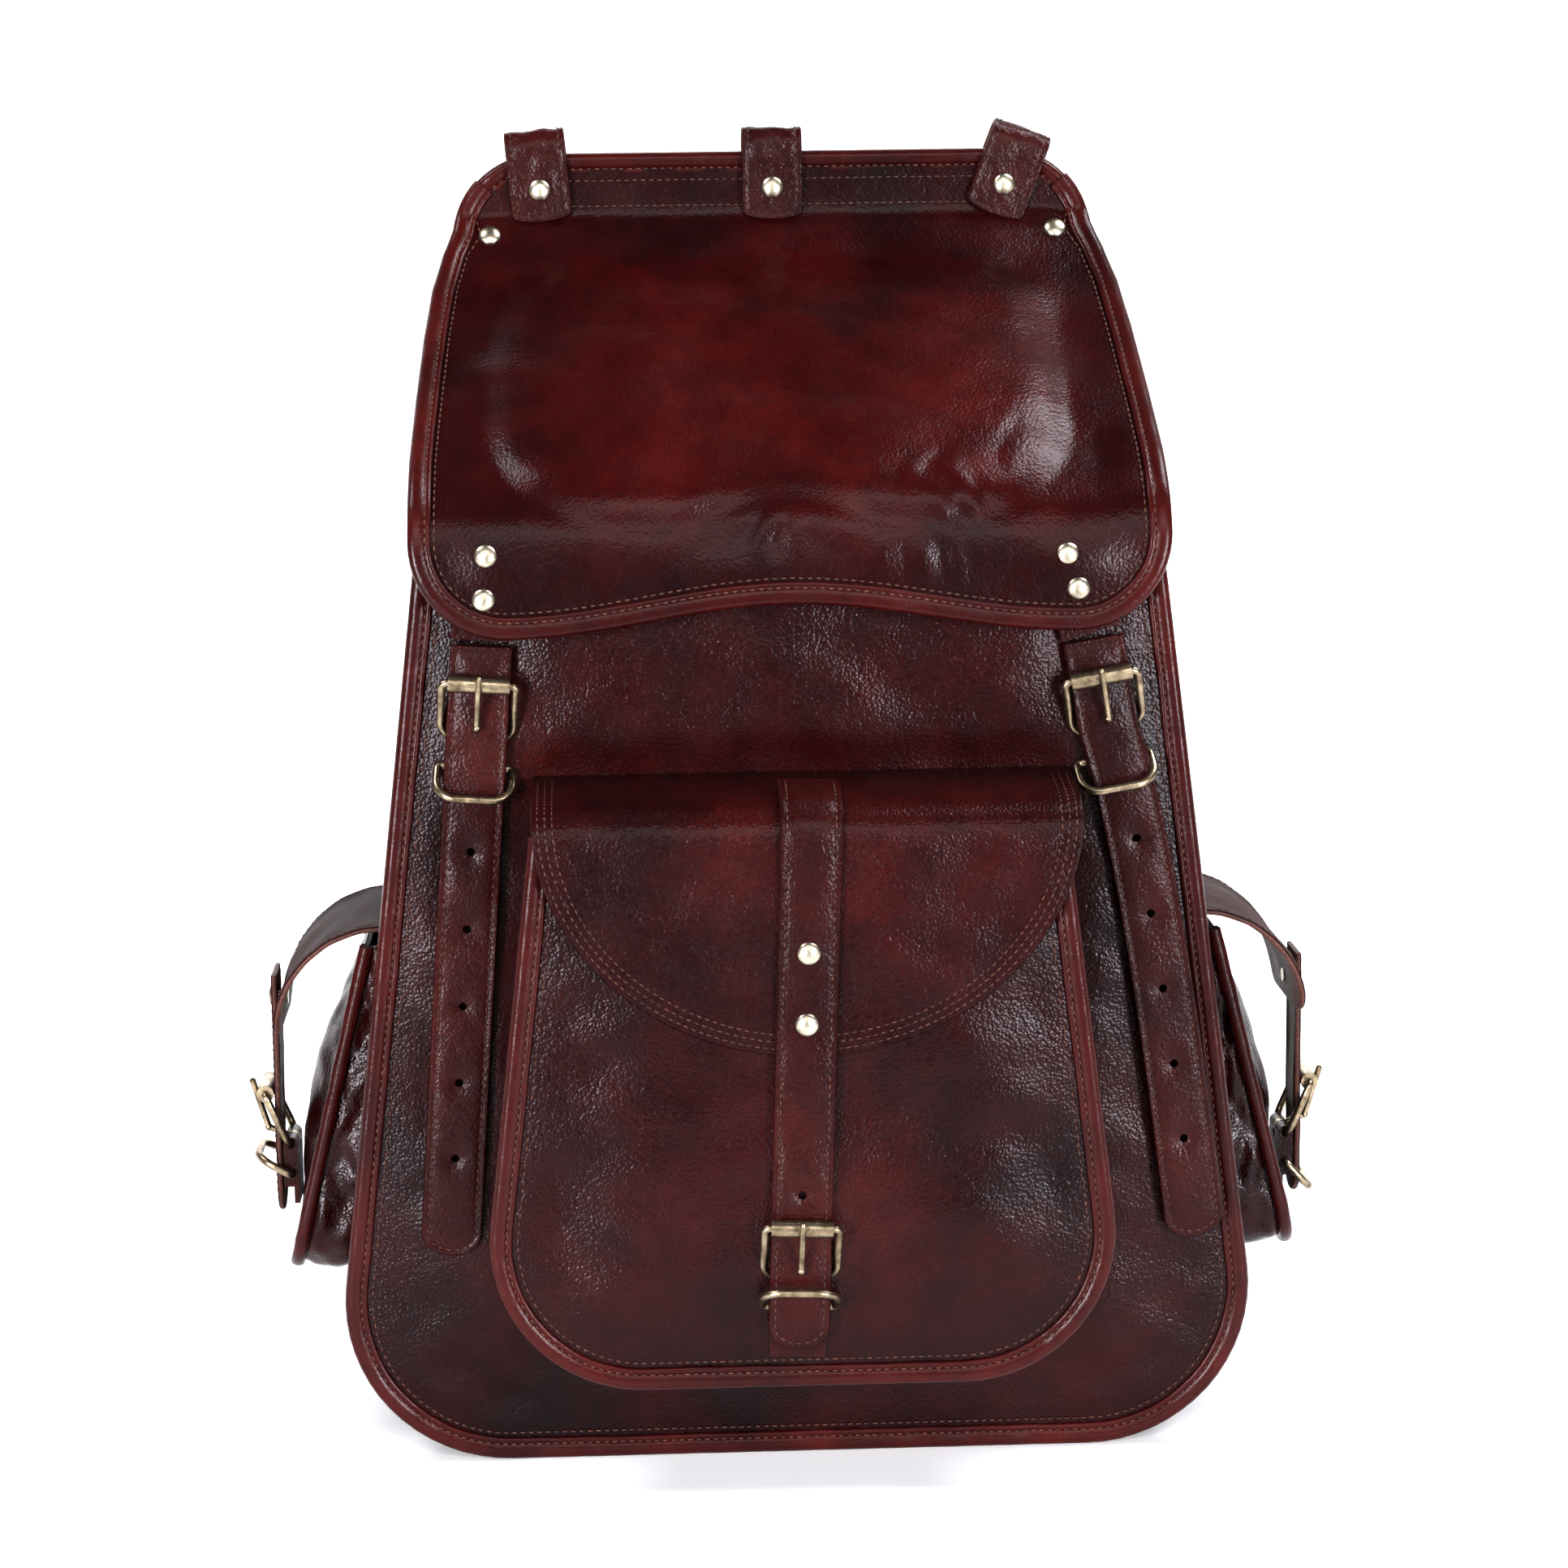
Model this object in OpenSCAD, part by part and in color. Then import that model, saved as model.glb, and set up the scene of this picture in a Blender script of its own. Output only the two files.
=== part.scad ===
// Buckled leather backpack: a tapered box body with bound edges, a main flap on two buckled
// straps, a front pocket, two wedge-shaped side pockets, three loops over the top edge, and a
// back with two shoulder straps and a haul handle. The origin is the middle of the base. The
// front faces -Y, and +Z is up.

/* [Body] */
// Half width of the front and back panels, measured on their side lines at the floor
body_half = 191; // [180:0.5:193]
// How much narrower each side gets per millimetre of height
side_taper = 0.1206; // [0.08:0.0001:0.125]
// Radius of the bottom corners
corner_r = 66; // [50:1:70]
// Height of the front panel
front_top = 383; // [380:1:385]
// Height of the back panel
back_top = 520; // [518:1:524]
// Radius of the back panel's top corners
shoulder_r = 36; // [25:1:40]
// Half depth of the body, from the middle to the inner face of a panel
half_depth = 66; // [66:0.5:68]

/* [Leather] */
// Thickness of a body panel
leather = 2; // [1.6:0.1:2.4]
// Width of the binding along a bound edge
binding_w = 9; // [7:0.5:10]
// Thickness of the binding across the edge
binding_t = 7; // [6:0.5:7]
// Thickness of the canvas lining
lining_t = 0.8; // [0.6:0.1:1]

/* [Main flap] */
// Height of the fold that the flap turns on
flap_fold_z = 477; // [475:1:478]
// Thickness of the flap
flap_t = 3; // [2.4:0.1:3]
// How far the middle of the lower edge is raised above its two ends
flap_rise = 12; // [6:1:16]

/* [Straps] */
// Width of a buckled strap
strap_w = 24; // [22:0.5:24]
// Thickness of a buckled strap
strap_t = 2.5; // [2:0.1:2.5]
// Sideways lean of the left, right and pocket strap from the vertical, in degrees
strap_lean = [4.3, -9.8, 2.1]; // [-10:0.1:10]
// Distance between the prong holes
hole_pitch = 31; // [28:1:32]

/* [Hardware] */
// Thickness of the wire in buckles and rings
wire = 3.2; // [2.8:0.1:3.2]
// Outer radius of a buckle's roller
roller_r = 3.5; // [3.2:0.1:3.5]
// Radius of a rivet head
rivet_r = 4.6; // [4:0.1:4.8]

/* [Front pocket] */
// Half width of the pocket, measured on its side line at the floor
pocket_half = 135.5; // [130:0.1:137]
// Height of the pocket's lower edge
pocket_low = 43; // [42:0.5:44]
// How far the pocket stands out from the front panel
pocket_depth = 44; // [44:0.5:45]
// Sideways offset of the pocket flap
pocket_flap_x = 3.2; // [2.8:0.1:3.4]

/* [Side pockets] */
// Half width of a side pocket along the body's depth
side_half = 46; // [40:1:48]
// Length of a side pocket's outer panel
side_len = 142; // [140:1:144]
// Tilt of the outer panel, in degrees
side_tilt = 13.8; // [13:0.1:13.8]

/* [Back] */
// Width of a shoulder strap
shoulder_w = 40; // [34:1:44]
// Thickness of a shoulder strap
shoulder_t = 7; // [5:0.5:8]
// How far a shoulder strap bows out behind the back panel
shoulder_bow = 24; // [20:1:28]
// Lean of the shoulder straps from the vertical, in degrees
shoulder_lean = 10; // [8:0.5:11]

/* [Hidden] */
$fn = 32;

oxblood = "#4a1412";
dark_oxblood = "#33100f";
edge_brown = "#5a1c16";
canvas_tan = "#7d6a52";
antique_brass = "#a08f68";

side_angle = atan(side_taper);
front_face = -half_depth - leather;     // outer face of the front panel
back_face = half_depth - 1.5;           // outer face of the back panel
back_inner = back_face - 2.5;           // inner face of the back panel
gusset_in = 8;                          // how far the gusset's sides lie inside the bound edge
gusset_front = -half_depth + 2.5;
gusset_back = back_inner - 2.5;
flap_slope = 35.4;                      // the flap and the mouth rise towards the back
mouth_low = front_top + 7;              // height of the mouth above the front panel
flap_half = 148.5;
flap_corner_r = 38;
flap_corner_z = 374;
flap_root_y = 52.5;
strap_back = 6.8;                       // gap behind a buckled strap, filled by its tab
flap_inner_y = front_face - strap_back - strap_t - 0.3;
flap_bend_r = 12;
flap_bend_y = flap_inner_y + flap_bend_r;
flap_bend_z = flap_fold_z - tan(flap_slope)*(flap_root_y - flap_bend_y + flap_bend_r*sin(flap_slope))
    - flap_bend_r*cos(flap_slope);
pocket_face = front_face - pocket_depth - leather;
pocket_top = 265;
pocket_corner_r = 60;
pocket_flap_t = 2.5;
pocket_flap_half = 106;
pocket_fold_z = 281;
pocket_flap_low = 177.5;
pocket_drop_y = pocket_face - strap_back + 0.1 + pocket_flap_t;
pocket_path = [[front_face - 0.8, pocket_fold_z - 2.5], [-104, 274], [-111, 272],
    [-115.9, 268], [-117.8, 262], [pocket_drop_y, 255], [pocket_drop_y, 170]];
side_top = [172, 208];                  // top of a side pocket's outer panel: outwards, up
side_face = 203.5;                      // a side tab stands against this plane
side_drop_x = side_face + strap_back - 0.1 - 2.5;
side_path = [[161, 214], [174, 213], [186, 208.5], [195.5, 201], [202.5, 192], [206.2, 183],
    [side_drop_x, 176], [side_drop_x, 168]];

// A strap's place: x, y and z of the buckle's pivot on its panel, the way it faces, its lean
strap_at = [
    [-123.7, front_face, 297, 0, strap_lean[0]],
    [124, front_face, 296, 0, strap_lean[1]],
    [-2, pocket_face, 89, 0, strap_lean[2]],
    [-side_face, 0, 118, -90, 0],
    [side_face, 0, 113, 90, 0]];
strap_down = [209, 210, 28, 30, 27];    // length below the pivot
root_lean = [4.3, -17];                 // the riveted roots lean by themselves
root_len = 42;
root_rivets = [[18, 35], [21, 35]];     // up from where the strap bends
keeper_droop = [45, 42, -35, -30, 48];  // degrees below the level, for each strap's keeper ring
frame_h = 24;                           // between a buckle's two bars
frame_tilt = 23.8;                      // a buckle leans out from its strap
pivot_y = -3.4;                         // both tunnels of a tab, out from the panel
tab_r = 3.1;                            // half thickness of a tab round its tunnels
swing_u = 37;                           // a main strap bends here, above its pivot
keeper_z = -12;
running = 0.08;                         // clearance round a bar

// ---- outlines ----

function arc(cx, cz, r, a0, a1, n) =
    [for (i = [0:n]) [cx + r*cos(a0 + (a1 - a0)*i/n), cz + r*sin(a0 + (a1 - a0)*i/n)]];
function mirrored(p) = concat(p, [for (i = [len(p) - 1:-1:0]) [-p[i][0], p[i][1]]]);

// Right half of a tapered panel with a rounded bottom corner, taken in by d
function side_x(half, z, d) = half - side_taper*z - d/cos(side_angle);
function corner_x(half, low, r) = half - side_taper*(low + r) - r/cos(side_angle);
function panel_right(half, low, r, d, top) = concat(
    arc(corner_x(half, low, r), low + r, r - d, -90, side_angle, 10),
    [[side_x(half, top, d), top]]);
function panel_outline(half, low, r, d, top) = mirrored(panel_right(half, low, r, d, top));

// Side view of the main flap's inner face, from its root down over the bend
flap_path = concat([[flap_root_y, flap_fold_z]],
    arc(flap_bend_y, flap_bend_z, flap_bend_r, 90 + flap_slope, 180, 5), [[flap_inner_y, 330]]);

// The back panel also has rounded top corners
shoulder_z = back_top - shoulder_r;
shoulder_x = side_x(body_half, shoulder_z, 0) - shoulder_r;
function back_outline(d) = mirrored(concat(
    arc(corner_x(body_half, 0, corner_r), corner_r, corner_r - d, -90, side_angle, 10),
    arc(shoulder_x, shoulder_z, shoulder_r - d, side_angle, 90, 8)));

// Front view of the main flap: narrow at the fold, with a lower edge raised in the middle
flap_edge = flap_half - flap_corner_r;
flap_low = flap_corner_z - flap_corner_r;
function flap_outline(d) = mirrored(concat(
    [for (i = [0:8]) let (x = flap_edge*i/8)
        [x, flap_low + d + flap_rise*(1 + cos(180*x/flap_edge))/2]],
    arc(flap_edge, flap_corner_z, flap_corner_r - d, -80, 0, 8),
    [[148 - d, 404], [145.5 - d, 438], [141.5 - d, 466], [134.5 - d, 490]]));

// Front view of the pocket flap: straight at the fold, then half an ellipse
function pocket_flap_outline(d) = mirrored(concat(
    [for (a = [-90:7.5:0]) [(pocket_flap_half - d)*cos(a), 272 + (272 - pocket_flap_low - d)*sin(a)]],
    [[pocket_flap_half - d, 290]]));

// A strip of leather: the path moved out by a and by b, joined into one outline
function unit(v) = v/norm(v);
function outward(v) = [v[1], -v[0]];
function mitre(p, i) =
    let (a = unit(i > 0 ? p[i] - p[i - 1] : p[1] - p[0]),
         b = i < len(p) - 1 ? unit(p[i + 1] - p[i]) : a,
         n = unit(outward(a) + outward(b)))
    n/(n*outward(a));
function ribbon(p, a, b) = concat(
    [for (i = [0:len(p) - 1]) p[i] + b*mitre(p, i)],
    [for (i = [len(p) - 1:-1:0]) p[i] + a*mitre(p, i)]);

// ---- shared shapes ----

// A plate whose outline is given in X and Z, from y0 to y1
module plate(outline, y0, y1) {
    translate([0, y1, 0]) rotate([90, 0, 0]) linear_extrude(y1 - y0) polygon(outline);
}

module band(outer, inner, y0, y1) {
    difference() {
        plate(outer, y0, y1);
        plate(inner, y0 - 1, y1 + 1);
    }
}

// A bar whose outline is given in Y and Z, from -half to half along X
module along_x(outline, half) {
    translate([-half, 0, 0]) rotate([90, 0, 90]) linear_extrude(2*half) polygon(outline);
}

module bar(r, half, y, z) {
    translate([-half, y, z]) rotate([0, 90, 0]) cylinder(h = 2*half, r = r);
}

// A pin from a to b with a rounded end at b
module rod(a, b, r) {
    v = b - a;
    h = norm(v);
    translate(a) rotate([0, acos(v[2]/h), atan2(v[1], v[0])]) rotate_extrude()
        polygon([[0, 0], [r, 0], [r, h - 0.7*r], [0.7*r, h - 0.2*r], [0.3*r, h], [0, h]]);
}

// A wire ring standing on its lower bar, with corner radii r0 below and r1 above
module ring(half_w, height, r0, r1) {
    r = wire/2;
    for (s = [-1, 1]) {
        translate([s*half_w, 0, r0]) cylinder(h = height - r0 - r1, r = r);
        for (c = [[r0, r0, s > 0 ? 270 : 180], [height - r1, r1, s > 0 ? 0 : 90]])
            translate([s*(half_w - c[1]), 0, c[0]]) rotate([90, 0, 0]) rotate([0, 0, c[2]])
                rotate_extrude(angle = 90) translate([c[1], 0]) circle(r);
    }
    bar(r, half_w - r0, 0, 0);
    bar(r, half_w - r1, 0, height);
}

// A two-part rivet with its head at y = 0, facing -Y, and its washer behind a grip of that length
module rivet(grip) {
    shaft = 1.9;
    rotate([90, 0, 0]) rotate_extrude() polygon([[0, 2], [2.4, 1.7], [4, 1], [rivet_r, 0.3],
        [rivet_r, 0], [shaft, 0], [shaft, -grip], [3.4, -grip], [3.4, -grip - 1], [0, -grip - 1]]);
}

module rivet_hole(x, z, y0, y1) {
    translate([x, y1, z]) rotate([90, 0, 0]) cylinder(h = y1 - y0, r = 2);
}

// ---- body ----

module mouth_cut() {
    translate([0, gusset_front, mouth_low]) rotate([flap_slope, 0, 0])
        translate([-300, -60, 0]) cube([600, 400, 300]);
}

module front_panel() {
    color(oxblood) plate(panel_outline(body_half, 0, corner_r, binding_w, front_top),
        front_face, front_face + leather);
}

module front_binding() {
    color(edge_brown) band(panel_outline(body_half, 0, corner_r, 0, front_top),
        panel_outline(body_half, 0, corner_r, binding_w, front_top + 1),
        front_face - 2.5, front_face - 2.5 + binding_t);
}

module back_panel() {
    color(oxblood) difference() {
        plate(back_outline(binding_w), back_inner, back_face);
        top_rivet_holes();
    }
}

module back_binding() {
    color(edge_brown) band(back_outline(0), back_outline(binding_w),
        back_inner - 2.5, back_inner - 2.5 + binding_t + 0.5);
}

module gusset() {
    half = body_half - gusset_in;
    r = corner_r - 4;
    color(dark_oxblood) difference() {
        band(panel_outline(half, 0, r, 0, 500), panel_outline(half, 0, r, leather, 501),
            gusset_front, gusset_back);
        mouth_cut();
    }
}

module lining() {
    half = body_half - gusset_in;
    r = corner_r - 4;
    clear = leather + 0.3;
    color(canvas_tan) difference() {
        plate(panel_outline(half, 0, r, clear, 500), gusset_front + 0.3, gusset_back - 0.3);
        plate(panel_outline(half, 0, r, clear + lining_t, 501),
            gusset_front + 0.3 + lining_t, gusset_back - 0.3 - lining_t);
        mouth_cut();
        translate([-300, -100, front_top - 1]) cube([600, 100 + gusset_front + 2, 200]);
    }
}

// ---- front pocket ----

module pocket_panel() {
    color(oxblood) plate(
        panel_outline(pocket_half, pocket_low, pocket_corner_r, binding_w, pocket_top),
        pocket_face, pocket_face + leather);
}

module pocket_binding() {
    color(edge_brown) band(
        panel_outline(pocket_half, pocket_low, pocket_corner_r, 0, pocket_top),
        panel_outline(pocket_half, pocket_low, pocket_corner_r, binding_w, pocket_top + 1),
        pocket_face - 2.5, pocket_face - 2.5 + binding_t);
}

module pocket_gusset() {
    color(dark_oxblood) band(
        panel_outline(pocket_half, pocket_low, pocket_corner_r, 4, pocket_top),
        panel_outline(pocket_half, pocket_low, pocket_corner_r, 4 + leather, pocket_top + 1),
        pocket_face - 2.5 + binding_t, front_face);
}

// ---- side pockets ----

side_corner_r = 26;
function side_outline(d, top) = concat(
    [[-side_half + d, top]],
    arc(-side_half + side_corner_r, -side_len + side_corner_r, side_corner_r - d, 180, 270, 6),
    arc(side_half - side_corner_r, -side_len + side_corner_r, side_corner_r - d, 270, 360, 6),
    [[side_half - d, top]]);

// Puts a shape on a side pocket's tilted outer panel: side is -1 for left and 1 for right
module on_side_panel(side) {
    translate([side*side_top[0], 0, side_top[1]]) rotate([0, -side*side_tilt, 0])
        rotate([0, 0, side*90]) children();
}

module side_pocket_panel(side) {
    color(oxblood) on_side_panel(side) plate(side_outline(8, 0), -leather, 0);
}

module side_pocket_binding(side) {
    color(edge_brown) on_side_panel(side)
        band(side_outline(0, 0), side_outline(8, 1), -leather - 2, -leather - 2 + 6);
}

// The wall runs from the body's side out to the back of the outer panel's binding
module side_pocket_gusset(side) {
    low = side_top[1] - side_len*cos(side_tilt);
    out = sin(side_tilt)/cos(side_tilt);
    back = 2.2/cos(side_tilt);
    reach = [for (z = [low - 4, side_top[1]]) side_top[0] + (side_top[1] - z)*out - back];
    wall = [for (z = [low - 4, side_top[1]]) side_x(body_half - gusset_in, z, 0)];
    wedge = [[wall[0], low - 4], [reach[0], low - 4], [reach[1], side_top[1]],
        [wall[1], side_top[1]]];
    color(dark_oxblood) mirror([side < 0 ? 1 : 0, 0, 0]) intersection() {
        plate(wedge, -60, 60);
        translate([190, 0, side_top[1] + 3]) difference() {
            along_x(side_outline(4, 5), 60);
            along_x(side_outline(4 + leather, 6), 61);
        }
    }
}

// ---- loops, rivets and back ----

// A loop's place along the top edge: x and lean
loop_at = [[-96.5, -5], [0, 0], [96.5, 21]];
loop_rivet_z = back_top - 15;
corner_rivet = [117.5, 486];
loop_mid_y = back_inner + 1.25;
loop_in = 4.45;
loop_out = loop_in + 2.5;

module at_loop(i) {
    translate([loop_at[i][0], 0, loop_rivet_z]) rotate([0, loop_at[i][1], 0]) children();
}

module top_loop(i) {
    arch_z = back_top + 3 - loop_rivet_z;
    color(oxblood) at_loop(i) difference() {
        union() {
            intersection() {
                bar(loop_out, strap_w/2 + 0.5, loop_mid_y, arch_z);
                translate([-20, 0, arch_z]) cube([40, 100, 20]);
            }
            for (y = [loop_mid_y - loop_out, loop_mid_y + loop_in])
                translate([-strap_w/2 - 0.5, y, -13]) cube([strap_w + 1, 2.5, arch_z + 13]);
        }
        bar(loop_in, 20, loop_mid_y, arch_z);
        rivet_hole(0, 0, 0, 100);
    }
}

module side_loops() {
    for (i = [0, 2]) top_loop(i);
}

module top_rivet_holes() {
    for (i = [0:2]) rivet_hole(loop_at[i][0], loop_rivet_z, 0, 100);
    for (s = [-1, 1]) rivet_hole(s*corner_rivet[0], corner_rivet[1], 0, 100);
}

module top_rivets() {
    color(antique_brass) {
        for (i = [0:2]) translate([loop_at[i][0], loop_mid_y - loop_out, loop_rivet_z])
            rivet(2*loop_out);
        for (s = [-1, 1]) translate([s*corner_rivet[0], back_inner, corner_rivet[1]])
            rivet(back_face - back_inner);
    }
}

shoulder_top = [58, 426];               // where a shoulder strap is sewn on: x, z
shoulder_len = 200;
adjuster_len = 395;
anchor_len = 34;

module on_back(side) {
    translate([side*shoulder_top[0], 0, shoulder_top[1]]) rotate([0, -side*shoulder_lean, 0])
        children();
}

// The strap leaves the back panel flat, bows out and comes back to it at the lower anchor
function bow_y(s) = back_face + 0.4 + shoulder_bow*sin(180*pow(s/adjuster_len, 0.8));
function back_path(s0, s1, n) = [for (i = [0:n]) let (s = s0 + (s1 - s0)*i/n) [bow_y(s), -s]];

module shoulder_strap(side) {
    color(oxblood) on_back(side) {
        along_x(concat([[back_face + 0.4, 22]],
            ribbon(back_path(0, shoulder_len, 10), -shoulder_t, 0),
            [[back_face + 0.4 + shoulder_t, 22]]), shoulder_w/2);
    }
}

// Starts inside the shoulder buckle's frame and ends at the anchor ring's upper bar
module adjuster_strap(side) {
    color(oxblood) on_back(side)
        along_x(ribbon(back_path(shoulder_len + 9.5, adjuster_len - anchor_len, 10), -2.5, 0),
            strap_w/2);
}

module shoulder_hardware() {
    buckle_s = shoulder_len + 18;
    ring_s = adjuster_len - anchor_len + 2.2;
    color(antique_brass) for (side = [-1, 1]) on_back(side) {
        translate([0, bow_y(buckle_s) + 5, -buckle_s - 10]) rotate([8, 0, 0])
            ring(strap_w/2 + 2.6, 21, 3, 3);
        translate([0, bow_y(ring_s) + 1.2, -ring_s - 14]) rotate([-14, 0, 0])
            ring(strap_w/2 + 2.6, 14, 3, 3);
    }
}

// A tab sewn to the back panel, folded round the ring's lower bar
module strap_anchors() {
    ring_s = adjuster_len - anchor_len + 2.2;
    color(oxblood) for (side = [-1, 1]) on_back(side) {
        y = bow_y(ring_s) + 1.2;
        difference() {
            union() {
                bar(wire/2 + 2, strap_w/2, y, -ring_s - 14);
                translate([-strap_w/2, back_face, -ring_s - 40])
                    cube([strap_w, y + wire/2 + 2 - back_face, 26]);
            }
            bar(wire/2 + running, 20, y, -ring_s - 14);
        }
    }
}

handle_pivot = [72.5, 490];             // y and z of the pins that the handle turns on
handle_x = 42;
handle_drop = 34;

module handle_tabs() {
    color(oxblood) for (s = [-1, 1]) difference() {
        union() {
            for (d = [-10, 7]) {
                translate([s*handle_x + d, back_face, handle_pivot[1] - 5])
                    cube([3, handle_pivot[0] - back_face, 10]);
                translate([s*handle_x + d, handle_pivot[0], handle_pivot[1]])
                    rotate([0, 90, 0]) cylinder(h = 3, r = 5);
            }
            translate([s*handle_x - 10, back_face, handle_pivot[1] - 5]) cube([20, 1.5, 10]);
            bar_at(s*handle_x, 1.6);
        }
    }
}

module bar_at(x, r) {
    translate([x, 0, 0]) bar(r, 10, handle_pivot[0], handle_pivot[1]);
}

// A stitched roll of leather, bent into a low U that hangs behind the back panel
module haul_handle() {
    t = 3.4;
    z = handle_pivot[1] - handle_drop + 18;
    outer = concat(arc(-handle_x + 16, z, 22, 180, 270, 6), arc(handle_x - 16, z, 22, 270, 360, 6));
    inner = concat([[-handle_x + 6, z + 1]], arc(-handle_x + 16, z, 10, 180, 270, 6),
        arc(handle_x - 16, z, 10, 270, 360, 6), [[handle_x - 6, z + 1]]);
    color(oxblood) difference() {
        union() {
            for (s = [-1, 1]) {
                translate([s*handle_x - 6, 0, 0]) rotate([0, 90, 0])
                    translate([-handle_pivot[1], handle_pivot[0], 0]) cylinder(h = 12, r = t + 0.2);
                translate([s*handle_x - 6, handle_pivot[0] - t, z])
                    cube([12, 2*t, handle_drop - 18]);
            }
            band(outer, inner, handle_pivot[0] - t, handle_pivot[0] + t);
        }
        for (s = [-1, 1]) bar_at(s*handle_x, 1.6 + running);
    }
}

// ---- main flap ----

module flap_rivet_holes() {
    for (i = [0:1]) for (d = root_rivets[i]) on_root(i) rivet_hole(0, d, -20, 0);
}

module flap() {
    color(oxblood) difference() {
        intersection() {
            along_x(ribbon(flap_path, 0, flap_t), 160);
            plate(flap_outline(binding_w), -100, 70);
        }
        flap_rivet_holes();
    }
}

module flap_binding() {
    color(edge_brown) difference() {
        intersection() {
            along_x(ribbon(flap_path, 0, flap_t + 2), 160);
            plate(flap_outline(0), -100, 70);
        }
        plate(flap_outline(binding_w), -101, 71);
    }
}

module flap_rivets() {
    head_y = flap_inner_y - flap_t - front_face;
    color(antique_brass) for (i = [0:1]) for (d = root_rivets[i])
        on_root(i) translate([0, head_y, d]) rivet(flap_t + 0.3 + strap_t);
}

// ---- buckled straps ----

// Puts a shape in a strap's own frame: X across it, Z up along it, -Y away from the bag
module on_strap(i) {
    s = strap_at[i];
    translate([s[0], s[1], s[2]]) rotate([0, 0, s[3]]) rotate([0, s[4], 0]) children();
}

// A main strap's root, from where the strap bends
module on_root(i) {
    on_strap(i) translate([0, 0, swing_u]) rotate([0, root_lean[i] - strap_lean[i], 0]) children();
}

// Where a strap's middle is at a height
function strap_x(i, z) = strap_at[i][0] + (z - strap_at[i][2])*tan(strap_at[i][4]);

module prong_slot() {
    for (z = [-1, 4.2]) rivet_hole(0, z, -20, 20);
    translate([-2, -20, -1]) cube([4, 40, 5.2]);
}

module strap_blank(up, down) {
    r = strap_w/2;
    tip = [for (a = [180:15:360]) [r*cos(a), -down + r*0.75 + 0.75*r*sin(a)]];
    plate(concat([[r, up], [-r, up]], tip), -strap_back - strap_t, -strap_back);
}

// A main strap hangs from its root, which is riveted behind the flap's lower edge
module strap(i) {
    color(oxblood) on_strap(i) difference() {
        strap_blank(swing_u - 0.3, strap_down[i]);
        prong_slot();
        for (k = [1:5]) rivet_hole(0, -14 - k*hole_pitch, -20, 20);
    }
}

module strap_roots() {
    color(oxblood) difference() {
        for (i = [0:1]) on_root(i) translate([-strap_w/2, -strap_back - strap_t, 2])
            cube([strap_w, strap_t, root_len]);
        flap_rivet_holes();
    }
}

// The pocket strap also runs up over its flap to the fold
module pocket_strap() {
    start = front_face - 7;
    low = 254;
    over = concat([[start, pocket_fold_z - 2.4]],
        [for (k = [1:4]) pocket_path[k] + [-0.4, 0.8]], [[pocket_drop_y - 0.1, low]]);
    top = low - strap_at[2][2];
    color(oxblood) difference() {
        on_strap(2) union() {
            strap_blank(top, strap_down[2]);
            translate([0, -strap_at[2][1], -strap_at[2][2]])
                along_x(ribbon(over, pocket_flap_t, pocket_flap_t + strap_t), strap_w/2);
        }
        on_strap(2) prong_slot();
        on_strap(2) rivet_hole(0, 34, -20, 20);
        pocket_rivet_holes();
    }
}

pocket_rivet_z = [191, 219];

module pocket_rivet_holes() {
    for (z = pocket_rivet_z) rivet_hole(strap_x(2, z), z, pocket_face - 20, pocket_face);
}

module pocket_rivets() {
    color(antique_brass) for (z = pocket_rivet_z)
        translate([strap_x(2, z), pocket_face - strap_back - strap_t, z])
            rivet(strap_t + pocket_flap_t);
}

module pocket_flap() {
    color(oxblood) difference() {
        intersection() {
            along_x(ribbon(pocket_path, 0, pocket_flap_t), 130);
            translate([pocket_flap_x, 0, 0]) plate(pocket_flap_outline(0), -130, -60);
        }
        pocket_rivet_holes();
    }
}

// A tab folded round the buckle's pivot bar and the keeper's bar, cut out for the prong
module strap_tab(i) {
    low = i == 2 ? -33 : i < 2 ? -38 : -25;
    color(dark_oxblood) on_strap(i) difference() {
        union() {
            bar(tab_r, strap_w/2 - 1, pivot_y, 0);
            translate([1 - strap_w/2, pivot_y - tab_r, -18]) cube([strap_w - 2, 2*tab_r, 18]);
            translate([1 - strap_w/2, -2.5, low]) cube([strap_w - 2, 2.2, -low]);
        }
        bar(wire/2 + running, 20, pivot_y, 0);
        bar(wire/2 + running, 20, pivot_y, keeper_z);
        translate([-2.2, -10, -4.5]) cube([4.4, 20, 10]);
    }
}

module frame_wire() {
    translate([0, pivot_y, 0]) rotate([frame_tilt, 0, 0]) ring(strap_w/2 + 2.4, frame_h, 6, 2);
}

module buckle(i) {
    color(antique_brass) on_strap(i) frame_wire();
}

module roller_tube() {
    translate([0, pivot_y, 0]) rotate([frame_tilt, 0, 0]) difference() {
        bar(roller_r, strap_w/2, 0, frame_h);
        bar(wire/2 + running, 20, 0, frame_h);
    }
}

module roller(i) {
    color(antique_brass) on_strap(i) roller_tube();
}

// An eye round the pivot bar, a short leg out through the strap, and an arm over the roller
module prong_pin() {
    knee = [0, pivot_y - 9.7, 5];
    tip = [0, pivot_y - 16.1, 26];
    difference() {
        union() {
            bar(tab_r, 1.8, pivot_y, 0);
            rod([0, pivot_y - 1.7, 1.6], knee, 1.3);
            rod(knee, tip, 1.3);
            translate(knee) sphere(1.6);
        }
        bar(wire/2 + running, 20, pivot_y, 0);
    }
}

module prong(i) {
    color(antique_brass) on_strap(i) prong_pin();
}

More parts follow.
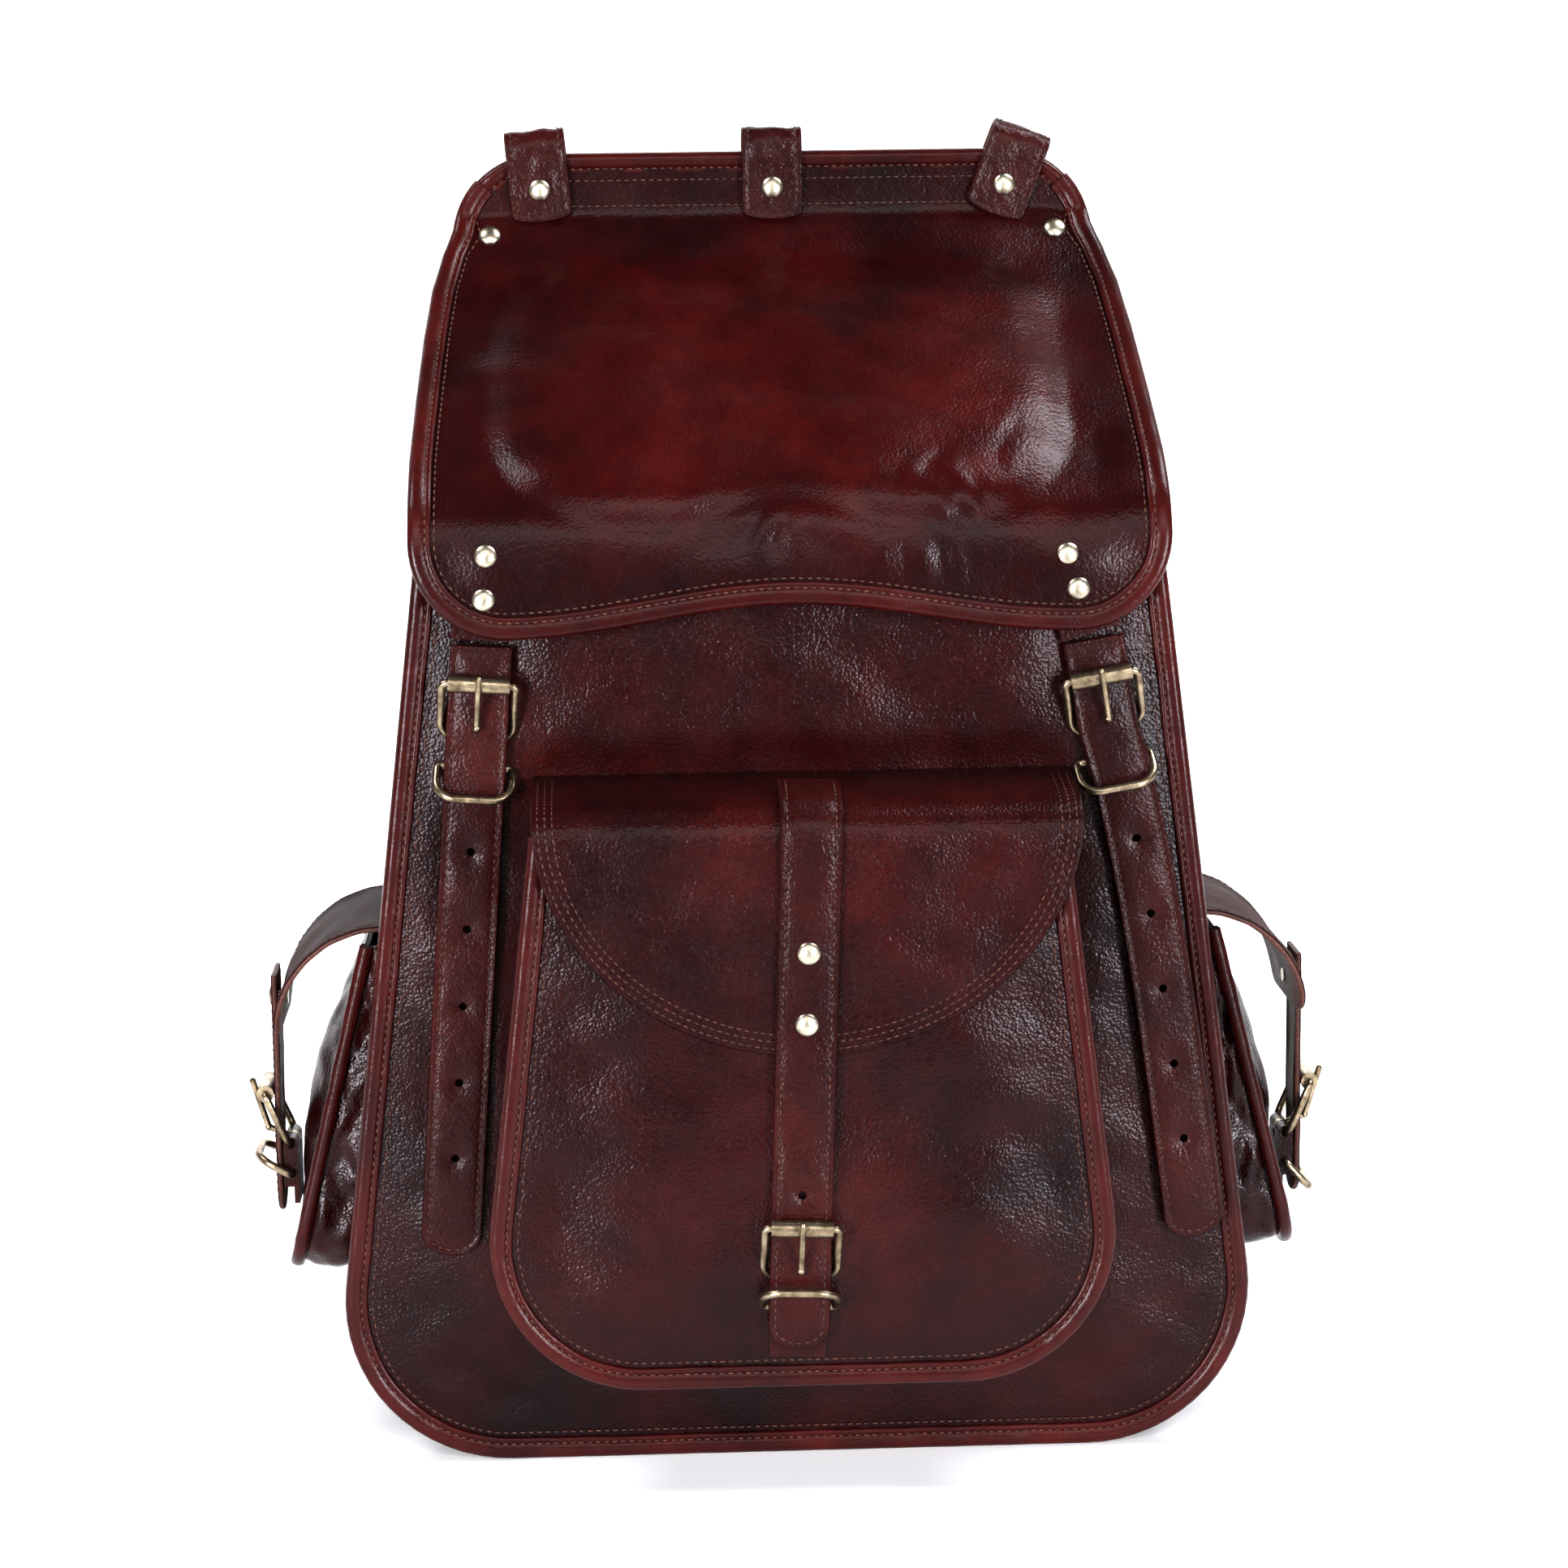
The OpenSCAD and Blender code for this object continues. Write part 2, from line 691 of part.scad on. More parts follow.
// A flattened D ring on the tab's second tunnel, standing out round the strap
module keeper(i) {
    color(antique_brass) on_strap(i) translate([0, pivot_y, keeper_z])
        rotate([90 + keeper_droop[i], 0, 0]) ring(strap_w/2 + 2.8, 15.6, 2, 8);
}

// ---- side flaps ----

module side_flap(side) {
    corner = 20;
    half = side_half - 3;
    low = side_flap_low;
    shape = concat([[half, 230], [-half, 230]],
        arc(-half + corner, low + corner, corner, 180, 270, 5),
        arc(half - corner, low + corner, corner, 270, 360, 5));
    color(oxblood) mirror([side < 0 ? 1 : 0, 0, 0]) difference() {
        intersection() {
            plate(ribbon([for (i = [len(side_path) - 1:-1:0]) side_path[i]], 0, 2.5), -60, 60);
            translate([190, 0, 0]) along_x(shape, 60);
        }
        side_rivet_hole();
    }
}

side_rivet_z = 179;
side_strap_top = 190;
side_flap_low = 169;

module side_rivet_hole() {
    translate([180, 0, side_rivet_z]) rotate([0, 90, 0]) cylinder(h = 60, r = 2);
}

module side_strap(side) {
    i = side < 0 ? 3 : 4;
    color(oxblood) on_strap(i) difference() {
        strap_blank(side_strap_top - strap_at[i][2], strap_down[i]);
        prong_slot();
        rivet_hole(0, side_rivet_z - strap_at[i][2], -20, 20);
    }
}

// The side pockets' frame, roller, prong and rivet are four solids in one node
module side_buckle(side) {
    i = side < 0 ? 3 : 4;
    color(antique_brass) on_strap(i) {
        frame_wire();
        roller_tube();
        prong_pin();
        translate([0, -strap_back - strap_t, side_rivet_z - strap_at[i][2]])
            rivet(strap_t + 0.1 + 2.5);
    }
}

// ---- nodes ----

front_panel();
back_panel();
gusset();
front_binding();
back_binding();
lining();
pocket_panel();
pocket_gusset();
pocket_binding();
side_pocket_panel(-1);  // side_pocket_panel_left
side_pocket_panel(1);  // side_pocket_panel_right
side_pocket_gusset(-1);  // side_pocket_gusset_left
side_pocket_gusset(1);  // side_pocket_gusset_right
side_pocket_binding(-1);  // side_pocket_binding_left
side_pocket_binding(1);  // side_pocket_binding_right
side_loops();
top_loop(1);  // loop_centre
top_rivets();
shoulder_strap(-1);  // shoulder_strap_left
shoulder_strap(1);  // shoulder_strap_right
adjuster_strap(-1);  // adjuster_strap_left
adjuster_strap(1);  // adjuster_strap_right
shoulder_hardware();
strap_anchors();
handle_tabs();
haul_handle();
flap();
flap_binding();
flap_rivets();
strap_roots();
strap(0);  // strap_left
strap(1);  // strap_right
strap_tab(0);  // strap_tab_left
strap_tab(1);  // strap_tab_right
buckle(0);  // buckle_left
buckle(1);  // buckle_right
roller(0);  // roller_left
roller(1);  // roller_right
prong(0);  // prong_left
prong(1);  // prong_right
keeper(0);  // keeper_left
keeper(1);  // keeper_right
pocket_flap();
pocket_strap();
pocket_rivets();
strap_tab(2);  // pocket_tab
buckle(2);  // pocket_buckle
roller(2);  // pocket_roller
prong(2);  // pocket_prong
keeper(2);  // pocket_keeper
side_flap(-1);  // side_flap_left
side_flap(1);  // side_flap_right
side_strap(-1);  // side_strap_left
side_strap(1);  // side_strap_right
strap_tab(3);  // side_tab_left
strap_tab(4);  // side_tab_right
side_buckle(-1);  // side_buckle_left
side_buckle(1);  // side_buckle_right
keeper(3);  // side_keeper_left
keeper(4);  // side_keeper_right
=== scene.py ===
"""Leather backpack: the looks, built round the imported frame.

The shapes are worked out in millimetres, with X to the viewer's right, the front towards -Y and
Z up, and make() turns them into metres. A sheet of leather is drawn flat in its own coordinates
(u, v), and a place function puts a point of it, with its height h above the sheet, in space.
"""

import math

import bmesh
import bpy
import numpy as np
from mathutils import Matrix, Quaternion, Vector
from mathutils.geometry import delaunay_2d_cdt

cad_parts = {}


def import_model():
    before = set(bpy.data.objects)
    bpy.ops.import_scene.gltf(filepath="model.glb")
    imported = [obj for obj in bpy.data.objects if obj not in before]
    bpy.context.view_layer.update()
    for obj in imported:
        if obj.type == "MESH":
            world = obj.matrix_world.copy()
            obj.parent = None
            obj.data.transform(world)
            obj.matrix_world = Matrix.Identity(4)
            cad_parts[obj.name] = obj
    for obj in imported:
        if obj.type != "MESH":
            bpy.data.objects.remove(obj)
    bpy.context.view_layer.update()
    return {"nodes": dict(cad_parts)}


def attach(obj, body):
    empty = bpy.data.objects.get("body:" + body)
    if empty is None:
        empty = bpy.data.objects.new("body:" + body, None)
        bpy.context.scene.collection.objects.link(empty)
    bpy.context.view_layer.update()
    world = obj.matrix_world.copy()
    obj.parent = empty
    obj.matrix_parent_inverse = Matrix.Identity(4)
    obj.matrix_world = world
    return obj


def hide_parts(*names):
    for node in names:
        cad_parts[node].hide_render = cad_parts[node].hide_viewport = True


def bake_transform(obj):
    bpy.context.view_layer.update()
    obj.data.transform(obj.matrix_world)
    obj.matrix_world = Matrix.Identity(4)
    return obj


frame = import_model()

MM = 0.001
TAU = 2 * math.pi
rad = math.radians

# ---- sizes that the frame's parts share ----

TAPER = 0.1206
TAPER_COS = math.cos(math.atan(TAPER))
BODY_HALF, CORNER_R = 191, 66
FRONT_TOP, BACK_TOP, SHOULDER_R = 383, 520, 36
FRONT_FACE, BACK_FACE = -68, 64.5
BINDING_W = 9
# how far from the edge a sheet ends under its binding, and the binding's row of stitches lies
UNDER_BINDING, ROW_IN = 6.5, 6.7
GUSSET_HALF, GUSSET_R = 183, 62
GUSSET_FRONT, GUSSET_BACK, GUSSET_TOP = -63.5, 59.5, 500
MOUTH_LOW, FLAP_SLOPE = 390, 35.4
POCKET_HALF, POCKET_LOW, POCKET_R, POCKET_TOP, POCKET_FACE = 135.5, 43, 60, 265, -114
SIDE_HALF, SIDE_LEN, SIDE_R, SIDE_TILT = 46, 142, 26, 13.8
SIDE_TOP = (172, 208)
STRAP_W, STRAP_OUT = 24, 9.3
# how far a strap's seam lies from its edge
SEAM_IN = 2.6
# a strap's pivot x, y, z, the way it faces, its lean, and its length above and below the pivot
STRAPS = [
    (-123.7, -68, 297, 0, 4.3, 36.7, 209),
    (124, -68, 296, 0, -9.8, 36.7, 210),
    (-2, -114, 89, 0, 2.1, 165, 28),
    (-203.5, 0, 118, -90, 0, 72, 30),
    (203.5, 0, 113, 90, 0, 77, 27),
]
HOLE_PITCH, HOLE_R = 31, 1.7
# the finer thread of the straps and small flaps
FINE = dict(length=2.2, r=0.36)
LOOPS = [(-96.5, -5), (0, 0), (96.5, 21)]
LOOP_Z, LOOP_Y, LOOP_R = 505, 63.25, 6.95


# ---- drawing on flat leather ----


def smooth(x, a, b):
    """0 below a and 1 above b."""
    t = np.clip((x - a) / (b - a), 0, 1)
    return t * t * (3 - 2 * t)


def bump(x, at, width):
    return np.exp(-(((x - at) / width) ** 2))


def waves(u, v, size, seed, n=9):
    """Smooth random relief of about +-1, with features of about that size."""
    rng = np.random.default_rng(seed)
    turn, phase = rng.uniform(0, TAU, n), rng.uniform(0, TAU, n)
    k = TAU / size * rng.uniform(0.45, 1.3, n)
    total = sum(
        np.sin(k[i] * (u * math.cos(turn[i]) + v * math.sin(turn[i])) + phase[i]) for i in range(n)
    )
    return total / math.sqrt(n) / 1.1


def arc(cx, cy, r, a0, a1, n=12):
    a = np.radians(np.linspace(a0, a1, n + 1))
    return np.stack([cx + r * np.cos(a), cy + r * np.sin(a)], 1)


def points(*parts):
    return np.concatenate([np.asarray(p, float).reshape(-1, 2) for p in parts])


def ruled(u0, v0, u1, v1, n=90):
    """A straight line from one point to another."""
    return np.linspace((u0, v0), (u1, v1), n)


def run(line):
    """How far along a line each of its points lies."""
    return np.r_[0, np.cumsum(np.linalg.norm(np.diff(line, axis=0), axis=1))]


def mirrored(right):
    """The right half, then its mirror image, back to the start."""
    return points(right, right[::-1] * (-1, 1))


def spanned(right):
    """An open line from the mirror image of a right half's end, past the middle, to its end."""
    return points(right[::-1] * (-1, 1), right[1:])


def even(line, step, closed=False):
    """The line with its points no more than step apart."""
    line = np.asarray(line, float)
    if closed:
        line = np.concatenate([line, line[:1]])
    gap = np.linalg.norm(np.diff(line, axis=0), axis=1)
    line, gap = line[np.r_[True, gap > 1e-6]], gap[gap > 1e-6]
    out = [
        p + (q - p) * i / n
        for p, q, n in zip(line[:-1], line[1:], np.maximum(1, np.ceil(gap / step)).astype(int))
        for i in range(n)
    ]
    return np.array(out if closed else out + [line[-1]])


def normals2(line, closed=False):
    """Unit normals to the right of a line's direction, mitred at its corners."""
    if closed:
        before, after = line - np.roll(line, 1, 0), np.roll(line, -1, 0) - line
    else:
        d = np.diff(line, axis=0)
        before, after = np.r_[d[:1], d], np.r_[d, d[-1:]]
    before = before / np.linalg.norm(before, axis=1, keepdims=True)
    after = after / np.linalg.norm(after, axis=1, keepdims=True)
    side = lambda d: np.stack([d[:, 1], -d[:, 0]], 1)
    n = side(before) + side(after)
    n /= np.maximum(np.linalg.norm(n, axis=1, keepdims=True), 1e-9)
    return n / np.maximum((n * side(after)).sum(1, keepdims=True), 0.4)


def area2(poly):
    x, y = poly[:, 0], poly[:, 1]
    return 0.5 * (x @ np.roll(y, -1) - y @ np.roll(x, -1))


def inset(poly, d):
    """A closed outline taken in by d."""
    turn = 1 if area2(poly) < 0 else -1
    return poly + normals2(poly, True) * d * turn


# how many points distance() takes at a time, to save memory
BATCH = 4000


def distance(p, poly):
    """How far each point lies from an outline."""
    d = np.roll(poly, -1, 0) - poly
    out = np.empty(len(p))
    for k in range(0, len(p), BATCH):
        q = p[k : k + BATCH, None, :] - poly[None]
        t = np.clip((q * d).sum(2) / (d * d).sum(1), 0, 1)
        out[k : k + BATCH] = np.sqrt(((q - t[..., None] * d) ** 2).sum(2).min(1))
    return out


def inside(p, poly):
    x, y = p[:, 0:1], p[:, 1:2]
    x0, y0 = poly[:, 0], poly[:, 1]
    x1, y1 = np.roll(x0, -1), np.roll(y0, -1)
    cross = (y0 > y) != (y1 > y)
    with np.errstate(divide="ignore", invalid="ignore"):
        hit = x < (x1 - x0) * (y - y0) / (y1 - y0) + x0
    return (cross & hit).sum(1) % 2 == 1


# ---- making meshes ----

sewn = {}


def make(name, verts, faces, materials, picks=None, sharp=40, from_edge=None):
    """A closed mesh in metres, with its faces turned outwards."""
    mesh = bpy.data.meshes.new(name)
    mesh.from_pydata((np.asarray(verts) * MM).tolist(), [], [list(map(int, f)) for f in faces])
    for m in materials:
        mesh.materials.append(m)
    if picks is not None:
        mesh.polygons.foreach_set("material_index", np.asarray(picks, np.int32))
    bm = bmesh.new()
    bm.from_mesh(mesh)
    bmesh.ops.recalc_face_normals(bm, faces=bm.faces)
    bm.to_mesh(mesh)
    bm.free()
    mesh.polygons.foreach_set("use_smooth", [True] * len(mesh.polygons))
    mesh.set_sharp_from_angle(angle=rad(sharp))
    if from_edge is not None:
        mesh.attributes.new("from_seam", "FLOAT", "POINT").data.foreach_set(
            "value", np.asarray(from_edge, np.float32) * MM)
    obj = bpy.data.objects.new(name, mesh)
    bpy.context.scene.collection.objects.link(obj)
    return obj


def settle(obj, body, nodes=(), blend=None):
    """Hangs a piece on its body, or bakes its place into its mesh when blend is given, and hides
    the nodes it stands for.
    """
    if blend:
        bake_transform(obj)
    else:
        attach(obj, body)
    if nodes:
        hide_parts(*nodes)
    return obj


def leather_sheet(name, outline, place, relief, materials, thick=2, grid=4, rings=(), holes=(),
                  edge=0.0, under=None):
    """A sheet cut to an outline: relief(u, v, d) is its height and d the distance to its edge."""
    outline = even(outline, grid, True)
    holes = [np.asarray(h) for h in holes]
    loops = [outline] + holes
    cloud = [*loops] + [even(inset(outline, d), grid, True) for d in rings]
    low, high = outline.min(0), outline.max(0)
    rows = np.arange(low[1], high[1], grid * 0.866)
    hexes = np.array([
        (u + (grid / 2 if k % 2 else 0), v)
        for k, v in enumerate(rows) for u in np.arange(low[0], high[0], grid)
    ])
    keep = inside(hexes, outline)
    keep[keep] = distance(hexes[keep], outline) > (max(rings) if len(rings) else 0) + grid * 0.45
    for h in holes:
        keep[keep] = np.linalg.norm(hexes[keep] - h.mean(0), axis=1) > HOLE_R + grid * 0.3
    cloud.append(hexes[keep])
    for k in range(len(loops), len(cloud) - 1):
        cloud[k] = cloud[k][inside(cloud[k], outline)]
    all_points = np.concatenate(cloud)
    edges, n = [], 0
    for loop in loops:
        edges += [(n + i, n + (i + 1) % len(loop)) for i in range(len(loop))]
        n += len(loop)
    result = delaunay_2d_cdt([Vector(p) for p in all_points.tolist()], edges, [], 0, 1e-4)
    flat = np.array([v[:] for v in result[0]])
    tris = np.array(result[2])
    centre = flat[tris].mean(1)
    good = inside(centre, outline)
    for h in holes:
        good &= ~inside(centre, h)
    tris = tris[good]
    used, back = np.unique(tris, return_inverse=True)
    flat, tris = flat[used], back.reshape(-1, 3)
    u, v = flat[:, 0], flat[:, 1]
    d = distance(flat, outline)
    for h in holes:
        d = np.minimum(d, distance(flat, h))
    top = relief(u, v, d) if relief else 0 * u
    base = under(u, v, d) if under else top - thick
    if edge:
        round_off = edge * (1 - np.sqrt(1 - (1 - np.clip(d / edge, 0, 1)) ** 2))
        top, base = top - round_off, base + round_off
    n = len(flat)
    verts = np.concatenate([place(u, v, top), place(u, v, base)])
    pairs = {(a, b) for t in tris.tolist() for a, b in zip(t, t[1:] + t[:1])}
    rim = [(a, b) for a, b in pairs if (b, a) not in pairs]
    rim.sort()
    faces = tris.tolist() + (tris[:, ::-1] + n).tolist() + [(b, a, a + n, b + n) for a, b in rim]
    picks = [0] * len(tris) + [min(1, len(materials) - 1)] * (len(tris) + len(rim))
    return make(name, verts, faces, materials, picks, from_edge=np.r_[d, d])


def sweep(name, path, profile, materials, closed=False, sharp=50):
    """path(o, h) gives every point of the line moved by a profile point: its shape is (n, 3)."""
    rings = np.stack([path(o, h) for o, h in profile], 1)
    n, m = rings.shape[:2]
    faces = []
    for i in range(n if closed else n - 1):
        j = (i + 1) % n
        a, b = i * m, j * m
        faces += [(a + k, a + (k + 1) % m, b + (k + 1) % m, b + k) for k in range(m)]
    verts = rings.reshape(-1, 3)
    if not closed:
        faces += [tuple(range(m)), tuple(range((n - 1) * m, n * m))[::-1]]
    return make(name, verts, faces, materials, sharp=sharp)


def binding(name, line, place, width, front, back, materials, closed=False, seed=1):
    """A strip folded over an edge. line runs along the fold, with the sheet on its left."""
    line = even(line, 3, closed)
    side = normals2(line, closed)
    mid, half, groove = (front + back) / 2, (front - back) / 2, 2.4
    curve = [
        (-width, -0.25), (-width, 0.6), (-width + 0.35, 0.74), (-width + 1.2, 0.8),
        (-width + groove - 0.5, 0.78), (-width + groove, 0.66), (-width + groove + 0.6, 0.82),
        (-width * 0.5, 0.96), (-width * 0.33, 1.0), (-width * 0.2, 0.95), (-width * 0.1, 0.76),
        (-width * 0.03, 0.4), (0, 0),
    ]
    lower = [(o, -h) for o, h in curve[::-1][1:] if h >= 0]
    s = run(line)
    wobble = waves(s, 0 * s, 24, seed) * 0.16 + waves(s, 0 * s, 90, seed + 1) * 0.25

    def path(o, h):
        o = o * (1 + wobble * 0.06 * (o < -width * 0.5))
        p = line + side * np.reshape(o, (-1, 1))
        return place(p[:, 0], p[:, 1], mid + half * h * (1 + 0.05 * waves(s, h + 0 * s, 13, seed)))

    return sweep(name, path, curve + lower, materials, closed, sharp=55)


def stitches(group, line, place, height=0.0, pitch=3.4, length=2.3, r=0.42):
    """A row of stitches along a line drawn on a sheet, kept for join_stitches()."""
    line = np.asarray(line, float)
    p3 = place(line[:, 0], line[:, 1], 0 * line[:, 0])
    s3 = run(p3)
    centre = np.arange(pitch / 2, s3[-1] - pitch / 2, pitch)
    rings = 5
    t = np.linspace(-0.5, 0.5, rings)
    fat = np.array([0.35, 0.9, 1.0, 0.9, 0.35])
    sink = np.array([-0.55, -0.05, 0.1, -0.05, -0.55]) * r
    at = centre[:, None] + t[None] * length
    u = np.interp(at, s3, line[:, 0]).ravel()
    v = np.interp(at, s3, line[:, 1]).ravel()
    h = height + 0 * u
    p = place(u, v, h).reshape(-1, rings, 3)
    n = (place(u, v, h + 1) - place(u, v, h)).reshape(-1, rings, 3)
    n /= np.linalg.norm(n, axis=2, keepdims=True)
    forward = np.gradient(p, axis=1)
    forward /= np.maximum(np.linalg.norm(forward, axis=2, keepdims=True), 1e-9)
    b = np.cross(forward, n)
    p = p + n * sink[None, :, None]
    sides = 6
    a = np.arange(sides) * TAU / sides
    ring = p[:, :, None] + fat[None, :, None, None] * r * (
        b[:, :, None] * np.cos(a)[None, None, :, None]
        + 0.8 * n[:, :, None] * np.sin(a)[None, None, :, None]
    )
    count = ring.shape[0]
    one = [
        (i * sides + k, i * sides + (k + 1) % sides, (i + 1) * sides + (k + 1) % sides,
         (i + 1) * sides + k)
        for i in range(rings - 1) for k in range(sides)
    ] + [tuple(range(sides))[::-1], tuple(range((rings - 1) * sides, rings * sides))]
    store = sewn.setdefault(group, {"verts": [], "faces": [], "n": 0})
    store["verts"].append(ring.reshape(-1, 3))
    step = rings * sides
    for i in range(count):
        base = store["n"] + i * step
        store["faces"] += [tuple(base + k for k in f) for f in one]
    store["n"] += count * step


def join_stitches(group, name, body, blend=None):
    store = sewn.pop(group)
    obj = make(name, np.concatenate(store["verts"]), store["faces"], [thread], sharp=80)
    return settle(obj, body, blend=blend)


# ---- materials ----


class Tree:
    """The nodes of a material or a world. Textures read the object's own coordinates, in metres."""

    def __init__(self, data, shader="Principled BSDF"):
        self.data = data
        data.use_nodes = True
        self.nodes, self.links = data.node_tree.nodes, data.node_tree.links
        self.shader = self.nodes[shader]
        self.coords = self.nodes.new("ShaderNodeTexCoord").outputs

    def set(self, **sockets):
        """Sets the shader's sockets, whose names are given with _ for a space."""
        for key, value in sockets.items():
            self.put(self.shader.inputs[key.replace("_", " ")], value)

    def put(self, socket, value):
        if isinstance(value, bpy.types.NodeSocket):
            self.links.new(value, socket)
        else:
            socket.default_value = value

    def texture(self, kind, scale, **settings):
        node = self.nodes.new("ShaderNodeTex" + kind)
        self.links.new(self.coords["Object"], node.inputs["Vector"])
        node.inputs["Scale"].default_value = scale
        for key, value in settings.items():
            if key in node.inputs:
                node.inputs[key].default_value = value
            else:
                setattr(node, key, value)
        return node.outputs["Distance" if kind == "Voronoi" else "Fac"]

    def noise(self, scale, **settings):
        return self.texture("Noise", scale, **settings)

    def stops(self, value, *pairs):
        """A colour for each value. A single number stands for a grey."""
        node = self.nodes.new("ShaderNodeValToRGB")
        elements = node.color_ramp.elements
        while len(elements) < len(pairs):
            elements.new(0.5)
        for e, (at, colour) in zip(elements, pairs):
            e.position = at
            e.color = (*(colour if isinstance(colour, tuple) else (colour,) * 3), 1)
        self.links.new(value, node.inputs["Fac"])
        return node.outputs["Color"]

    def mix(self, how, amount, a, b):
        node = self.nodes.new("ShaderNodeMix")
        node.data_type = "RGBA"
        node.blend_type = how
        for key, value in (("Factor", amount), ("A", a), ("B", b)):
            self.put(node.inputs[key], value)
        return node.outputs["Result"]

    def ranged(self, value, low, high, start=0.0, end=1.0, kind="LINEAR"):
        node = self.nodes.new("ShaderNodeMapRange")
        node.interpolation_type = kind
        for key, number in (("Value", value), ("From Min", start), ("From Max", end),
                            ("To Min", low), ("To Max", high)):
            self.put(node.inputs[key], number)
        return node.outputs["Result"]

    def maths(self, how, *values):
        node = self.nodes.new("ShaderNodeMath")
        node.operation = how
        for socket, value in zip(node.inputs, values):
            self.put(socket, value)
        return node.outputs["Value"]

    def bump(self, height, depth, before=None, strength=1.0):
        node = self.nodes.new("ShaderNodeBump")
        node.inputs["Distance"].default_value = depth
        node.inputs["Strength"].default_value = strength
        self.links.new(height, node.inputs["Height"])
        if before:
            self.links.new(before, node.inputs["Normal"])
        return node.outputs["Normal"]


def material(name):
    return Tree(bpy.data.materials.new(name))


def leather(name, dark, mid, light, rough, grain=1.0, gloss=0.12, crease=1.0, seam=0.0):
    """Hand-dyed glazed leather: mottled dye, a pebble grain about 1 mm across and fine creases."""
    t = material(name)
    dye = t.stops(t.noise(13, Detail=5.0, Roughness=0.62), (0.36, dark), (0.5, mid), (0.66, light))
    tone = t.stops(t.noise(55, Detail=4.0, Roughness=0.7), (0.3, 0.62), (0.7, 1.25))
    colour = t.mix("MULTIPLY", 0.6, dye, tone)
    if seam:
        # the colour turns darker and bluer near the seams and redder away from them
        edge = t.nodes.new("ShaderNodeAttribute")
        edge.attribute_name = "from_seam"
        stray = t.noise(24, Detail=4.0, Roughness=0.6)
        seam_tint = t.stops(t.maths("MULTIPLY_ADD", stray, 0.05, edge.outputs["Fac"]),
                      (0.018, (0.50, 0.46, 0.62)), (0.05, (0.86, 0.84, 0.9)),
                      (0.085, (1.25, 1.18, 1.1)))
        colour = t.mix("MULTIPLY", seam, colour, seam_tint)
    pebble = t.texture("Voronoi", 780, feature="SMOOTH_F1", Smoothness=0.35)
    valley = t.stops(pebble, (0.35, 1.08), (0.75, 0.55))
    worn = t.noise(38, Detail=6.0, Roughness=0.66)
    t.set(Base_Color=t.mix("MULTIPLY", 0.55 * min(1, grain), colour, valley),
          Roughness=t.ranged(worn, *rough, 0.3, 0.7), Specular_IOR_Level=0.13, Coat_Weight=gloss,
          Coat_Roughness=0.24)
    crack = t.texture("Voronoi", 210, feature="DISTANCE_TO_EDGE", Randomness=1.0)
    soft = t.noise(130, Detail=4.0, Roughness=0.6)
    n = t.bump(soft, 0.00026 * crease)
    n = t.bump(t.ranged(crack, 0.0, 1.0, 0.0, 0.09), 0.00005 * crease, n, 0.7)
    n = t.bump(t.maths("MULTIPLY", pebble, -1), 0.00016 * grain, n)
    t.set(Normal=n, Coat_Normal=n)
    return t.data


def metal(name, bright, dull):
    """Aged brass: warm metal with darker patches and fine scratches."""
    t = material(name)
    patch = t.noise(160, Detail=5.0, Roughness=0.6)
    hair = t.noise(1500, Detail=3.0, Distortion=1.5)
    t.set(Base_Color=t.stops(patch, (0.35, dull), (0.62, bright)), Metallic=1.0,
          Roughness=t.ranged(patch, 0.42, 0.2), Normal=t.bump(hair, 0.00006))
    return t.data


def cloth(name, warp, weft, pitch=0.0009):
    """Plain-woven canvas."""
    t = material(name)
    threads = []
    for turn in (0, 90):
        spin = t.nodes.new("ShaderNodeMapping")
        spin.inputs["Rotation"].default_value = (rad(turn), 0, rad(turn))
        t.links.new(t.coords["Object"], spin.inputs["Vector"])
        wave = t.nodes.new("ShaderNodeTexWave")
        wave.inputs["Scale"].default_value = 0.314 / pitch
        wave.inputs["Distortion"].default_value = 0.6
        t.links.new(spin.outputs["Vector"], wave.inputs["Vector"])
        threads.append(wave.outputs["Fac"])
    both = t.mix("ADD", 1.0, *threads)
    tone = t.stops(t.noise(30, Detail=5.0), (0.3, 0.7), (0.7, 1.1))
    t.set(Base_Color=t.mix("MULTIPLY", 0.8, t.stops(both, (0.2, weft), (0.9, warp)), tone),
          Roughness=0.9, Normal=t.bump(both, 0.0002))
    return t.data


# where a fleck turns from dark to pale: on a cut edge, and on thread
FLECK_STOPS = ((0.3, 0.7), (0.35, 0.65))


def flecked(name, dark, pale, scale, detail, rough, nap, depth):
    """A matt material whose colour and surface are broken up by fine fibres."""
    t = material(name)
    fleck = t.noise(scale, Detail=detail)
    fibre = t.noise(nap, Detail=2.0) if nap else fleck
    t.set(Base_Color=t.stops(fleck, *zip(FLECK_STOPS[bool(nap)], (dark, pale))), Roughness=rough,
          Normal=t.bump(fibre, depth))
    return t.data


def cut_edge(name, dark, pale):
    """The burnished cut edge of leather, paler than its face."""
    return flecked(name, dark, pale, 700, 4.0, 0.6, 0, 0.0002)


